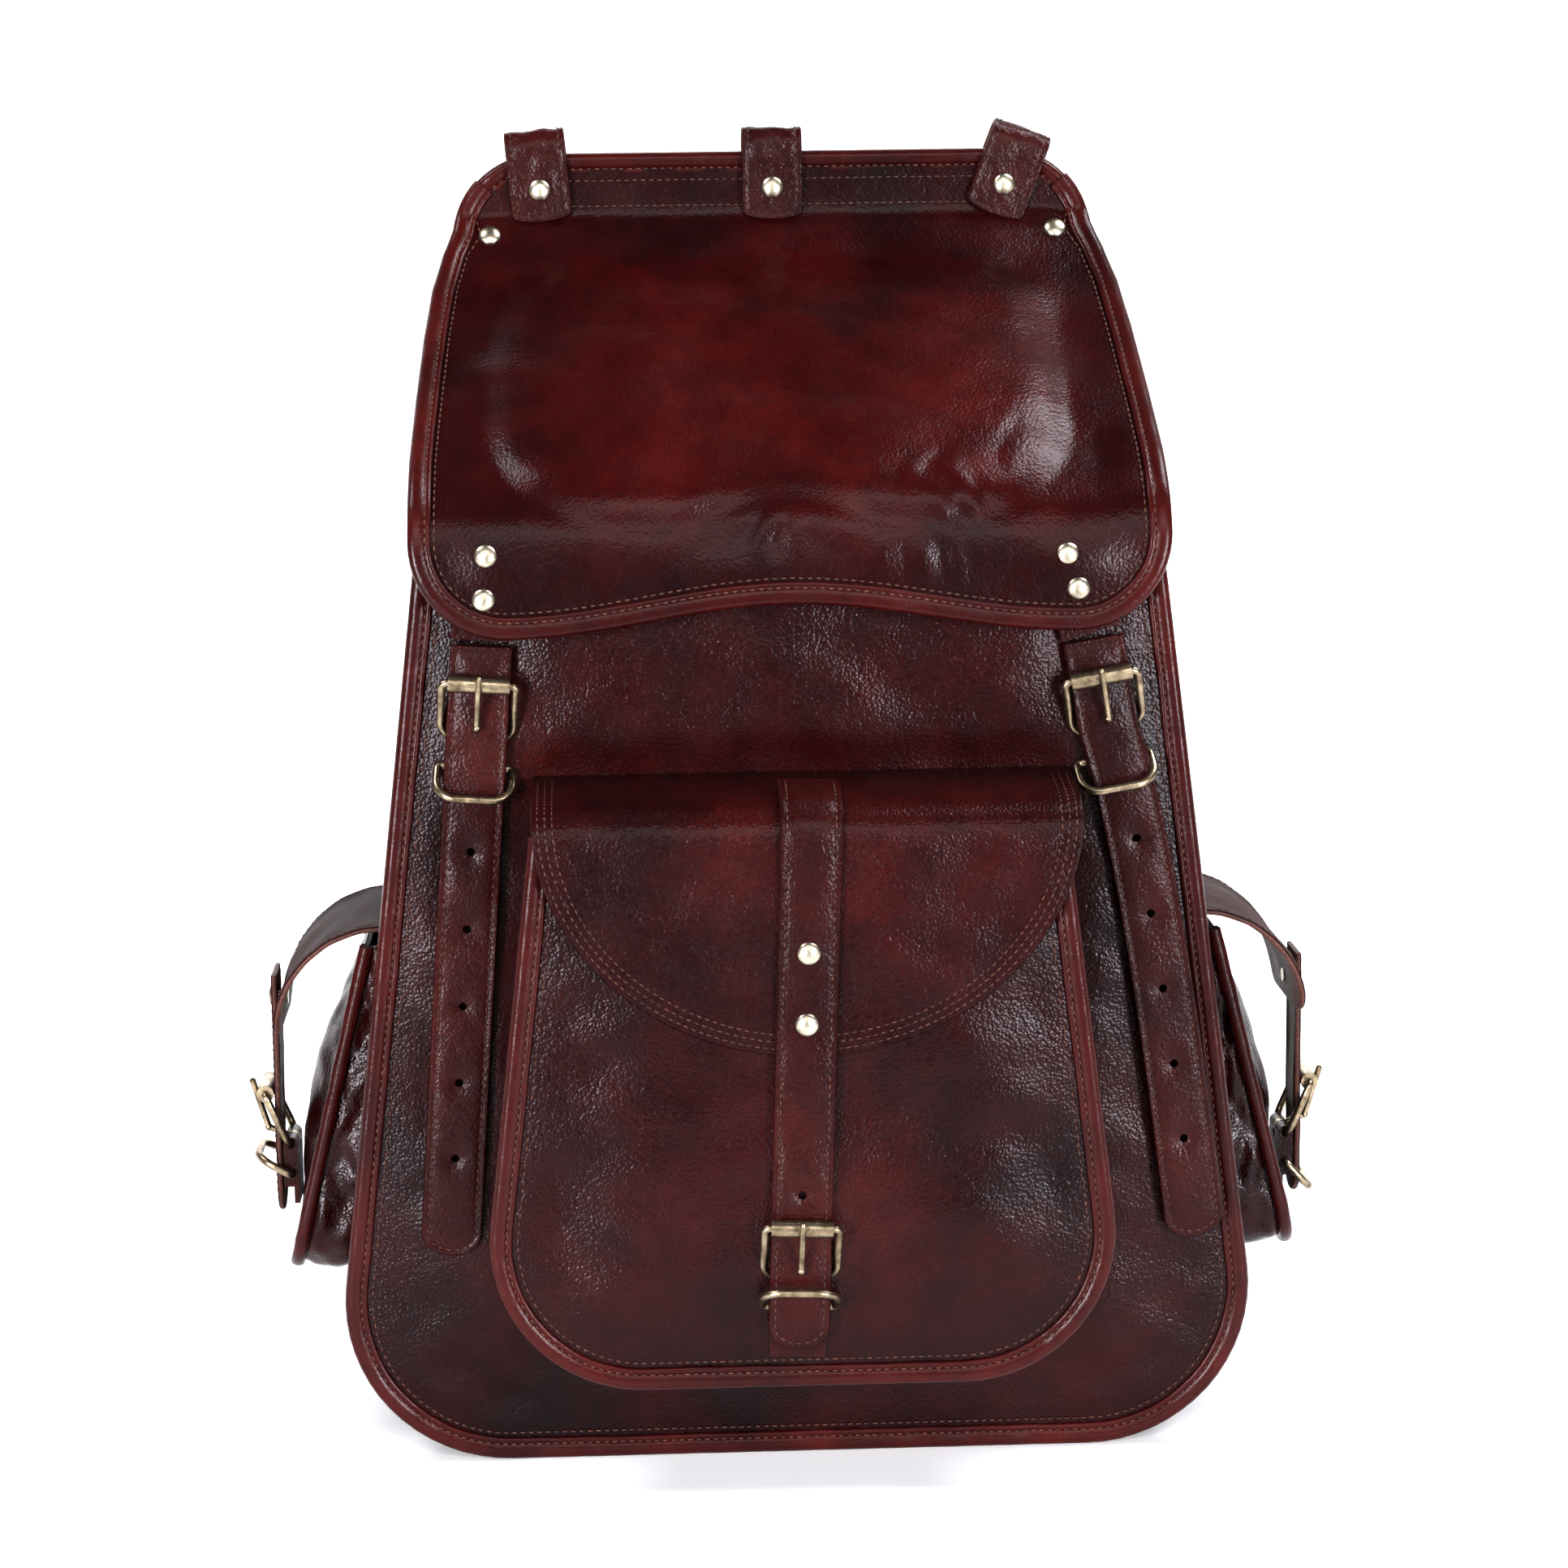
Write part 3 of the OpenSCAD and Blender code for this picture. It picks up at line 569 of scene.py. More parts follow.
hide = leather("oxblood_hide", (0.0098, 0.0009, 0.0012), (0.0200, 0.0016, 0.0018),
               (0.0320, 0.0029, 0.0026), rough=(0.24, 0.36), gloss=0.15, seam=0.9)
# the flap's copy of the hide is painted lighter than the body's: painted light for the light that
# falls on the flap's top
hide_flap = leather("oxblood_flap", (0.0150, 0.0012, 0.0015), (0.0285, 0.0017, 0.0019),
                    (0.0430, 0.0034, 0.0030), rough=(0.25, 0.36), grain=0.6, gloss=0.15,
                    crease=0.7, seam=0.9)
hide_strap = leather("oxblood_strap", (0.0170, 0.0020, 0.0021), (0.0310, 0.0038, 0.0034),
                     (0.0470, 0.0066, 0.0052), rough=(0.28, 0.42), grain=0.9, gloss=0.12)
hide_fold = leather("red_binding", (0.0240, 0.0022, 0.0021), (0.0400, 0.0037, 0.0031),
                    (0.0570, 0.0062, 0.0047), rough=(0.24, 0.38), grain=0.3, gloss=0.2, crease=0.5)
hide_wrinkled = leather("dark_gusset", (0.0100, 0.0011, 0.0013), (0.0210, 0.0020, 0.0020),
                        (0.0400, 0.0046, 0.0036), rough=(0.2, 0.36), grain=1.0, gloss=0.25,
                        crease=1.2)
hide_pocket = leather("oxblood_pocket_flap", (0.0150, 0.0014, 0.0016), (0.0300, 0.0027, 0.0027),
                      (0.0440, 0.0048, 0.0040), rough=(0.27, 0.4), gloss=0.14, seam=0.6)
hide_side = leather("oxblood_side_flap", (0.0150, 0.0014, 0.0016), (0.0290, 0.0028, 0.0027),
                    (0.0440, 0.0050, 0.0040), rough=(0.56, 0.72), gloss=0.02, seam=0.4)
raw_edge = cut_edge("raw_edge", (0.040, 0.010, 0.006), (0.105, 0.032, 0.018))
dark_edge = cut_edge("painted_edge", (0.012, 0.003, 0.003), (0.03, 0.008, 0.006))
thread = flecked("thread_brown", (0.030, 0.008, 0.0045), (0.095, 0.031, 0.015), 420, 3.0, 0.62,
                 2600, 0.0001)
brass = metal("antique_brass", (0.40, 0.325, 0.225), (0.13, 0.098, 0.062))
nickel = metal("rivet_brass", (0.66, 0.60, 0.48), (0.36, 0.31, 0.23))
canvas = cloth("lining_canvas", (0.21, 0.135, 0.075), (0.09, 0.055, 0.03))


# ---- outlines of the body ----


def side_x(half, z, d=0):
    return half - TAPER * z - d / TAPER_COS


def panel_right(half, low, r, d, top):
    tilt = math.degrees(math.atan(TAPER))
    cx = half - TAPER * (low + r) - r / TAPER_COS
    return points(arc(cx, low + r, r - d, -90, tilt, 16), [(side_x(half, top, d), top)])


def panel_u(half, low, r, d, top):
    """The U of a panel's sides and bottom, from its top left to its top right."""
    right = panel_right(half, low, r, d, top)
    return points(right[::-1] * (-1, 1), right)


def panel_outline(half, low, r, d, top):
    return mirrored(panel_right(half, low, r, d, top))


def back_outline(d):
    tilt = math.degrees(math.atan(TAPER))
    cz = BACK_TOP - SHOULDER_R
    cx = side_x(BODY_HALF, cz) - SHOULDER_R
    bottom_x = BODY_HALF - TAPER * CORNER_R - CORNER_R / TAPER_COS
    return mirrored(points(arc(bottom_x, CORNER_R, CORNER_R - d, -90, tilt, 16),
                           arc(cx, cz, SHOULDER_R - d, tilt, 90, 14)))


def facing(y0, sign=-1):
    """A flat sheet at y0, whose outer face looks towards -Y, or +Y for sign 1."""
    def place(u, v, h):
        return np.stack([u + 0 * h, y0 + sign * h + 0 * u, v + 0 * h], 1)
    return place


# ---- main body ----

front_place = facing(FRONT_FACE)


def front_relief(u, v, d):
    """The panel fills out between its bindings and slackens into soft dents."""
    pillow = 4.8 * smooth(d, 0, 62) + 1.0 * smooth(d, 0, 12)
    dents = 0.9 * waves(u, v, 75, 11) + 0.35 * waves(u, v, 26, 12)
    foot = 0.8 * waves(u, v * 2.2, 40, 13) * smooth(70 - v, 0, 60)
    under_pocket = smooth(POCKET_HALF - 12 - abs(u), 0, 25) * smooth(302 - v, 0, 22)
    return (pillow + (dents + foot) * smooth(d, 2, 25)) * (1 - 0.6 * under_pocket)


def bound_panel(name, half, low, r, top, place, relief, seed, inner):
    """A panel with its binding and two rows of stitches: inner is the inner row's height."""
    panel = leather_sheet(name + "_panel_hide", panel_outline(half, low, r, UNDER_BINDING, top),
                          place, relief, [hide], grid=4.5, rings=(3, 8))
    settle(panel, "bag", [name + "_panel"])
    fold = binding(name + "_binding_fold", panel_u(half, low, r, 0, top), place, BINDING_W,
                   2.3, -4.4, [hide_fold], seed=seed)
    settle(fold, "bag", [name + "_binding"])
    for d, h in ((ROW_IN, 1.75), (11.2, inner)):
        stitches("bag", even(panel_u(half, low, r, d, top - 3), 3), place, h)


bound_panel("front", BODY_HALF, 0, CORNER_R, FRONT_TOP, front_place, front_relief, 21, 0.75)

back_place = facing(BACK_FACE, 1)

back_panel = leather_sheet("back_panel_hide", back_outline(UNDER_BINDING), back_place,
                           lambda u, v, d: 0.3 + 0 * u, [hide],
                           thick=2.4, grid=6, rings=(4,))
settle(back_panel, "bag", ["back_panel"])
back_bind = binding("back_binding_fold", back_outline(0), back_place, BINDING_W, 2.4, -4.9,
                    [hide_fold], closed=True, seed=41)
settle(back_bind, "bag", ["back_binding"])
for place, h in ((back_place, 1.9), (facing(BACK_FACE - 2.5), 2.0)):
    stitches("bag", even(back_outline(ROW_IN), 3, True), place, h)


def wall(half, low, r, d, top):
    """A gusset: u runs round the U of its line and v is its depth y."""
    course = even(panel_u(half, low, r, d, top), 4)
    s = run(course)
    out = normals2(course)

    def place(u, v, h):
        x, z = np.interp(u, s, course[:, 0]), np.interp(u, s, course[:, 1])
        nx, nz = np.interp(u, s, out[:, 0]), np.interp(u, s, out[:, 1])
        return np.stack([x + nx * h, v + 0 * h + 0 * u, z + nz * h], 1)
    return place, s[-1], course, s


gusset_place, gusset_len, gusset_line, gusset_s = wall(GUSSET_HALF, 0, GUSSET_R, 0, GUSSET_TOP)
mouth = lambda y: MOUTH_LOW + (y - GUSSET_FRONT) * math.tan(rad(FLAP_SLOPE))
ys = np.linspace(GUSSET_FRONT, GUSSET_BACK, 14)
from_top = (GUSSET_TOP - mouth(ys)) / TAPER_COS
outline = points(np.stack([from_top, ys], 1), np.stack([gusset_len - from_top, ys], 1)[::-1])


def gusset_relief(u, v, d):
    """The side sags inwards between its seams, with folds across it."""
    across = smooth(np.minimum(v - GUSSET_FRONT, GUSSET_BACK - v), 0, 24)
    level = np.interp(u, gusset_s, gusset_line[:, 1])
    low = smooth(np.minimum(u, gusset_len - u), 120, 260)
    folds = 1.6 * waves(u * 1.6, v * 0.5, 46, 51) + 0.5 * waves(u, v, 17, 52)
    foot = smooth(level, 2, 26)
    return across * (0.7 * foot + (folds - 0.4) * foot * (0.5 + 0.5 * low))


gusset = leather_sheet("gusset_hide", outline, gusset_place, gusset_relief, [hide_wrinkled],
                       grid=5.5, rings=(4,), thick=1.6)
settle(gusset, "bag", ["gusset"])

# ---- front pocket ----

pocket_place = facing(POCKET_FACE)


def pocket_relief(u, v, d):
    pillow = 3.8 * smooth(d, 0, 48) + 0.8 * smooth(d, 0, 9)
    return pillow + smooth(d, 2, 22) * (0.8 * waves(u, v, 70, 61) + 0.3 * waves(u, v, 24, 62))


bound_panel("pocket", POCKET_HALF, POCKET_LOW, POCKET_R, POCKET_TOP, pocket_place, pocket_relief,
            63, 0.65)
wall_place, wall_len, _, _ = wall(POCKET_HALF, POCKET_LOW, POCKET_R, 4, POCKET_TOP)
wall_front, wall_back = -109.8, -67.5
wall_outline = points([(0, wall_front), (wall_len, wall_front), (wall_len, wall_back),
                       (0, wall_back)])


def wall_relief(u, v, d):
    across = smooth(np.minimum(v + 110, -67 - v), 0, 16)
    return across * (1.3 * waves(u, v * 0.6, 34, 65) - 1.2 + 0.4 * waves(u, v, 13, 66))


pocket_wall = leather_sheet("pocket_gusset_hide", wall_outline, wall_place, wall_relief,
                            [hide_wrinkled], grid=4.5, thick=1.6)
settle(pocket_wall, "bag", ["pocket_gusset"])


# ---- sheets that follow a side view ----


def offset(line, d):
    """A side view moved out by d, to the right of its direction."""
    line = np.asarray(line, float)
    return line + normals2(line) * d


def rounded(line, step, passes):
    """A side view with its bends eased."""
    line = even(line, step)
    for _ in range(passes):
        line[1:-1] = (line[:-2] + 2 * line[1:-1] + line[2:]) / 4
    return line


def profile_of(line, turn=1):
    """s along a side view, and the point and the normal to its right (or left, for -1) at any s."""
    s = run(line)
    n = turn * normals2(line)
    n /= np.linalg.norm(n, axis=1, keepdims=True)

    def at(v):
        return (np.interp(v, s, line[:, 0]), np.interp(v, s, line[:, 1]),
                np.interp(v, s, n[:, 0]), np.interp(v, s, n[:, 1]))
    return s, at


def s_of_z(line, s, z):
    """Where a falling side view passes a height."""
    return np.interp(-np.asarray(z, float), -line[:, 1], s)


# ---- main flap ----

FLAP_HALF, FLAP_R, FLAP_Z = 148.5, 38, 374
FLAP_BEND = (-65.6, 378.35, 15)
ROOT = (50.8, 479.4)
SKIRT_Z = 330
# the flap rises smoothly from the back panel and over the bag's front edge
EASING_PASSES = 150
a0 = 90 + FLAP_SLOPE
flap_line = points([(60.0, 513), (60.0, 500), (59, 492.5), (57.4, 487.5), (54.6, 482.6), ROOT],
                   arc(*FLAP_BEND, a0, 180, 10), [(-80.6, SKIRT_Z)])
flap_line = rounded(flap_line, 2.0, 3)
for _ in range(EASING_PASSES):
    eased = (flap_line[:-2] + 2 * flap_line[1:-1] + flap_line[2:]) / 4
    share = smooth(494 - flap_line[1:-1, 1], 0, 8)[:, None]
    flap_line[1:-1] += (eased - flap_line[1:-1]) * share
flap_s, flap_at = profile_of(flap_line)


def flap_v(z):
    return s_of_z(flap_line, flap_s, z)


def flap_place(u, v, h):
    y, z, ny, nz = flap_at(v)
    return np.stack([u + 0 * h, y + ny * h, z + nz * h], 1)


def flap_right(d, upper=True):
    """The flap's right half seen from the front, from the middle of its lower edge upwards."""
    x = np.linspace(0, FLAP_HALF - FLAP_R, 12)
    low = FLAP_Z - FLAP_R + d + 6 * (1 + np.cos(np.pi * x / (FLAP_HALF - FLAP_R)))
    side = [(148 - d, 404), (146.2 - d, 425), (143.8 - d, 448), (141 - d, 466), (137 - d, 479)]
    top = []
    if upper:
        cz = BACK_TOP - SHOULDER_R
        cx = side_x(BODY_HALF, cz) - SHOULDER_R
        top = points([(131.5 - d, 487)], arc(cx, cz, SHOULDER_R - 7, 22, 90, 8))
    return points(np.stack([x, low], 1),
                  arc(FLAP_HALF - FLAP_R, FLAP_Z, FLAP_R - d, -84, 0, 14), side, top)


def on_flap(xz):
    return np.stack([xz[:, 0], flap_v(xz[:, 1])], 1)


PILLOW = (-3, 113, flap_v(481.5), flap_v(379))


def flap_relief(u, v, d):
    """What fills the bag lifts the flap into a low cushion; below it the leather creases."""
    cx, half, v0, v1 = PILLOW
    x = u - cx
    rise = 17 * np.exp(-((x / 34) ** 2)) - 3 * np.cos(x / 22)
    r = 52
    qx = np.abs(x) - (half - r)
    qv = np.abs(v - (v0 + v1 - rise) / 2) - ((v1 - rise - v0) / 2 - r)
    sd = np.minimum(np.maximum(qx, qv), 0) + np.hypot(np.maximum(qx, 0), np.maximum(qv, 0)) - r
    upper = smooth(v, v0 - 3, v0 + 25)
    lift = (3.0 * smooth(-sd, -6, 16) + 2.4 * smooth(-sd, 0, 55)) * (0.35 + 0.65 * upper)
    seam = -0.35 * bump(sd, 3, 4) * smooth(v, v0 + 40, v0 + 90)
    ridge = 0.5 * bump(sd, -6, 5) * smooth(v, v0 + 40, v0 + 90)
    # creases fan out below the cushion's middle and across its lower right corner
    fan_x, fan_v = u - 22, v - (v1 - 60)
    turn = np.arctan2(fan_x, fan_v)
    fan = np.sin(26 * turn + 2.2 * waves(u, v, 45, 71)) * smooth(waves(u, v, 30, 72), -0.3, 0.7)
    fan *= bump(np.hypot(fan_x, fan_v), 78, 30) * smooth(np.cos(turn), 0.3, 0.9)
    turn2 = (u - 30) * 0.78 + (v - v1) * 0.55
    slant = np.sin(turn2 / 2.3 + 2 * waves(u, v, 40, 73)) * smooth(waves(u, v, 26, 74), 0, 0.8)
    slant *= bump(u, 62, 32) * bump(v, v1 - 34, 26)
    fold = 1.5 * bump(u + 0.35 * (v - v1), 38, 7) * smooth(v, v1 - 4, v1 + 12)
    root = flap_v(484)
    across = 0.5 * np.sin((v - root) / 1.9 + waves(u, v, 30, 75)) * bump(v, root - 8, 9)
    across *= smooth(np.abs(u), 60, 120)
    sag = 1.0 * waves(u, v, 95, 76) + 0.35 * waves(u, v, 30, 77)
    lower = smooth(v, v1 - 8, v1 + 20)
    free = smooth(d, 3, 22) * smooth(v, root - 14, root + 10)
    return (lift + seam + ridge + sag + (0.6 * fan + 0.42 * slant) + fold * lower) * free + (
        across * smooth(d, 3, 10)) - 0.35


flap_outline = on_flap(mirrored(flap_right(UNDER_BINDING)))
flap = leather_sheet("flap_hide", flap_outline, flap_place, flap_relief, [hide_flap, dark_edge],
                     grid=2.6, rings=(2.5, 5.5), thick=1.9)
flap_blend = ("bag", "flap", (0, 0.0585, 0.485), (0, 0.045, 0.471))
settle(flap, "flap", ["flap"], blend=flap_blend)
half = flap_right(0, upper=False)
corner = (side_x(BODY_HALF, BACK_TOP - SHOULDER_R) - SHOULDER_R, BACK_TOP - SHOULDER_R)
half = points(half, arc(*corner, SHOULDER_R + 0.6, 8, 44, 8))
flap_edge = on_flap(spanned(half))
flap_bind = binding("flap_binding_fold", flap_edge[::-1], flap_place, BINDING_W, 1.9, -3.0,
                    [hide_fold], seed=81)
settle(flap_bind, "flap", ["flap_binding"], blend=flap_blend)
for d, h in ((6.8, 1.35), (10.4, 0.15)):
    row = on_flap(spanned(flap_right(d)[:-6]))
    stitches("flap", even(row, 2), flap_place, h, r=0.45)
for z, reach, h in ((508.5, 96, 0.1), (498, 88, 0.15)):
    stitches("flap", ruled(-reach, flap_v(z), reach, flap_v(z)), flap_place, h)
join_stitches("flap", "flap_stitching", "flap", blend=flap_blend)

# ---- front pocket's flap ----

PFLAP_HALF, PFLAP_X, PFLAP_LOW = 106, 3.2, 177.5
POCKET_DROP = -118.2
PFLAP_SEWN_FROM = 7
pflap_inner = [(-68.8, 278.5), (-104, 274), (-111, 272), (-115.9, 268), (-117.8, 262),
               (POCKET_DROP, 255), (POCKET_DROP, 170)]
pflap_line = rounded(offset(pflap_inner, 2.5), 2, 4)
pflap_s, pflap_at = profile_of(pflap_line)


def pflap_v(z):
    return s_of_z(pflap_line, pflap_s, z)


def pflap_place(u, v, h):
    y, z, ny, nz = pflap_at(v)
    return np.stack([u + PFLAP_X + 0 * h, y + ny * h, z + nz * h], 1)


def pflap_right(d):
    a = np.radians(np.linspace(-90, 0, 26))
    curve = np.stack([(PFLAP_HALF - d) * np.cos(a), 272 + (272 - PFLAP_LOW - d) * np.sin(a)], 1)
    flat = np.stack([curve[:, 0], pflap_v(curve[:, 1])], 1)
    return points(flat, [(PFLAP_HALF - d, 0.5)])


def pflap_relief(u, v, d):
    under_strap = bump(u + 2, 0, 15)
    lie = 0.9 * waves(u, v, 80, 91) + 0.25 * waves(u, v, 25, 92)
    dimples = -0.22 * (bump(d, 2.6, 0.7) + bump(d, 5.4, 0.7) + bump(d, 8.2, 0.7))
    drop = smooth(v, 30, 60)
    return (lie * (1 - under_strap) - 0.4) * smooth(d, 3, 20) * drop + dimples * drop


pocket_flap = leather_sheet("pocket_flap_hide", mirrored(pflap_right(0)), pflap_place,
                            pflap_relief, [hide_pocket, raw_edge], grid=3.4,
                            rings=(0.5, 1.2, 2.6, 4, 5.4, 6.8, 8.2, 9.8), thick=2.3, edge=0.8)
settle(pocket_flap, "pocket_flap", ["pocket_flap"])
for d in (2.6, 5.4, 8.2):
    half = pflap_right(d)
    half[-1, 1] = PFLAP_SEWN_FROM
    stitches("pflap", even(spanned(half), 2.5), pflap_place, -0.1, 3.2, **FINE)
join_stitches("pflap", "pocket_flap_stitching", "pocket_flap")

# ---- straps ----


def strap_frame(i):
    """Turns a strap's own across, out and up into places on the bag."""
    x0, y0, z0, yaw, lean = STRAPS[i][:5]
    cy, sy, cl, sl = (f(rad(a)) for a in (yaw, lean) for f in (math.cos, math.sin))

    def world(across, out, up):
        x, z = across * cl + up * sl, -across * sl + up * cl
        y = -out
        return np.stack([x0 + x * cy - y * sy, y0 + x * sy + y * cy, z0 + z], 1)
    return world


def strap_outline(length, half=STRAP_W / 2):
    """A strap's outline: across, and down from its top."""
    a = np.radians(np.linspace(0, -180, 15))
    end = length - half * 0.75
    return points([(-half, 0)], [(half, 0)],
                  np.stack([half * np.cos(a), end - half * 0.75 * np.sin(a)], 1))


def strap_relief(seed):
    def relief(u, v, d):
        body = 0.35 * smooth(d, SEAM_IN, 9) - 0.3 * bump(d, SEAM_IN, 0.75)
        curl = 0.35 * waves(u * 0.4, v, 34, seed) + 0.14 * waves(u, v, 12, seed + 1)
        return body + curl * smooth(d, 0, 6)
    return relief


def strap_piece(name, i, side, body, node, seed, bow=None, hole_at=()):
    """A strap along a side view of (out, up) points, from its top down."""
    world = strap_frame(i)
    s, at = profile_of(side, -1)
    length = s[-1]

    def place(u, v, h):
        out, up, no, nu = at(v)
        shift = bow(up) if bow else 0
        return world(u + shift, out + no * h, up + nu * h)
    holes = []
    for up in hole_at:
        v = np.interp(-up, -side[:, 1], s)
        holes.append(arc(0, v, HOLE_R, 0, 330, 11))
    relief = strap_relief(seed)
    obj = leather_sheet(name, strap_outline(length), place, relief, [hide_strap, raw_edge],
                        thick=2.3, grid=3.2, rings=(0.45, 1.1, 2.0, SEAM_IN, 3.3, 4.6),
                        holes=holes, edge=0.75)
    settle(obj, body, [node])
    half = STRAP_W / 2 - SEAM_IN
    a = np.radians(np.linspace(0, -180, 13))
    tip = np.stack([half * np.cos(a), length - 9 - (9 - SEAM_IN) * np.sin(a)], 1)
    row = points([(half, 4)], tip, [(-half, 4)])
    stitches(body + name, even(row, 2), place, 0.02, 3.3, 2.25, 0.36)
    join_stitches(body + name, name + "_stitching", body)


def straight_side(top, low, lie):
    up = np.arange(top, -low, -4.0)
    out = STRAP_OUT + lie(up)
    return points(np.stack([out, up], 1), [(out[-1], -low)])


def hang(up, i):
    """A buckled strap rises a little over the pivot bar and lies easy below it."""
    return (0.5 * bump(up, 2, 7) - 0.2 * bump(up, -10, 6) + 0.5 * bump(up, -14, 7)
            + 0.5 * np.sin(up / 31 + i) * smooth(-up, 20, 60) * smooth(up + STRAPS[i][6], 0, 30))


for i, side_name in ((0, "left"), (1, "right")):
    top, low = STRAPS[i][5:7]
    side = straight_side(top, low, lambda up: hang(up, i))
    bow = None if i == 0 else (lambda up: 4.0 * np.sin(np.pi * np.clip(-up / 209, 0, 1) ** 0.7))
    node = f"strap_{side_name}"
    strap_piece(node + "_hide", i, side, node, node, 101 + 5 * i, bow,
                [-14 - HOLE_PITCH * k for k in range(1, 6)])
over = [(-90, 276.5)] + [(y - 0.4, z + 0.8) for y, z in pflap_inner[1:5]]
over = offset(over + [(POCKET_DROP - 0.1, 254), (POCKET_DROP - 0.1, 230)], 5.0)
side = np.stack([-(over[:, 0] - POCKET_FACE), over[:, 1] - STRAPS[2][2]], 1)
tail = np.arange(230 - STRAPS[2][2] - 4.0, -STRAPS[2][6], -4.0)
side = points(side, np.stack([STRAP_OUT + hang(tail, 2) * (tail < 60), tail], 1),
              [(STRAP_OUT, -STRAPS[2][6])])
side = rounded(side, 2.0, 3)
strap_piece("pocket_strap_hide", 2, side, "pocket_flap", "pocket_strap", 121, hole_at=[34])
for i, side_name in ((3, "left"), (4, "right")):
    top, low = STRAPS[i][5:7]
    side = straight_side(top, low, lambda up: hang(up, i) * 0.6)
    strap_piece(f"side_strap_{side_name}_hide", i, side, f"side_flap_{side_name}",
                f"side_strap_{side_name}", 131 + 5 * i)

# ---- side pockets ----

side_slope = math.tan(rad(SIDE_TILT))


def on_side_panel(side):
    """Puts a point on a side pocket's outer panel: u across, v up from its top, h outwards."""
    a = rad(-side * SIDE_TILT)

    def place(u, v, h):
        x, z = side * h * math.cos(a) + v * math.sin(a), -side * h * math.sin(a) + v * math.cos(a)
        return np.stack([side * SIDE_TOP[0] + x, side * u + 0 * h, SIDE_TOP[1] + z], 1)
    return place


def side_u(d, top=0.0):
    """A side pocket's U, from its top left to its top right."""
    return points([(-SIDE_HALF + d, top)],
                  arc(-SIDE_HALF + SIDE_R, -SIDE_LEN + SIDE_R, SIDE_R - d, 180, 270, 8),
                  arc(SIDE_HALF - SIDE_R, -SIDE_LEN + SIDE_R, SIDE_R - d, 270, 360, 8),
                  [(SIDE_HALF - d, top)])


def side_panel_relief(seed):
    def relief(u, v, d):
        full = 9.0 * smooth(d, 0, 36) * bump(v, -66, 52)
        dents = 1.0 * waves(u, v, 45, seed) + 0.4 * waves(u, v, 18, seed + 1)
        return full + smooth(d, 2, 14) * dents
    return relief


SIDE_FLAP_HALF, SIDE_FLAP_R, SIDE_FLAP_LOW = 43, 20, 169
side_flap_inner = np.array([(161, 214), (174, 213), (186, 208.5), (195.5, 201), (202.5, 192),
                            (206.2, 183), (207.7, 176), (207.7, 168)], float)

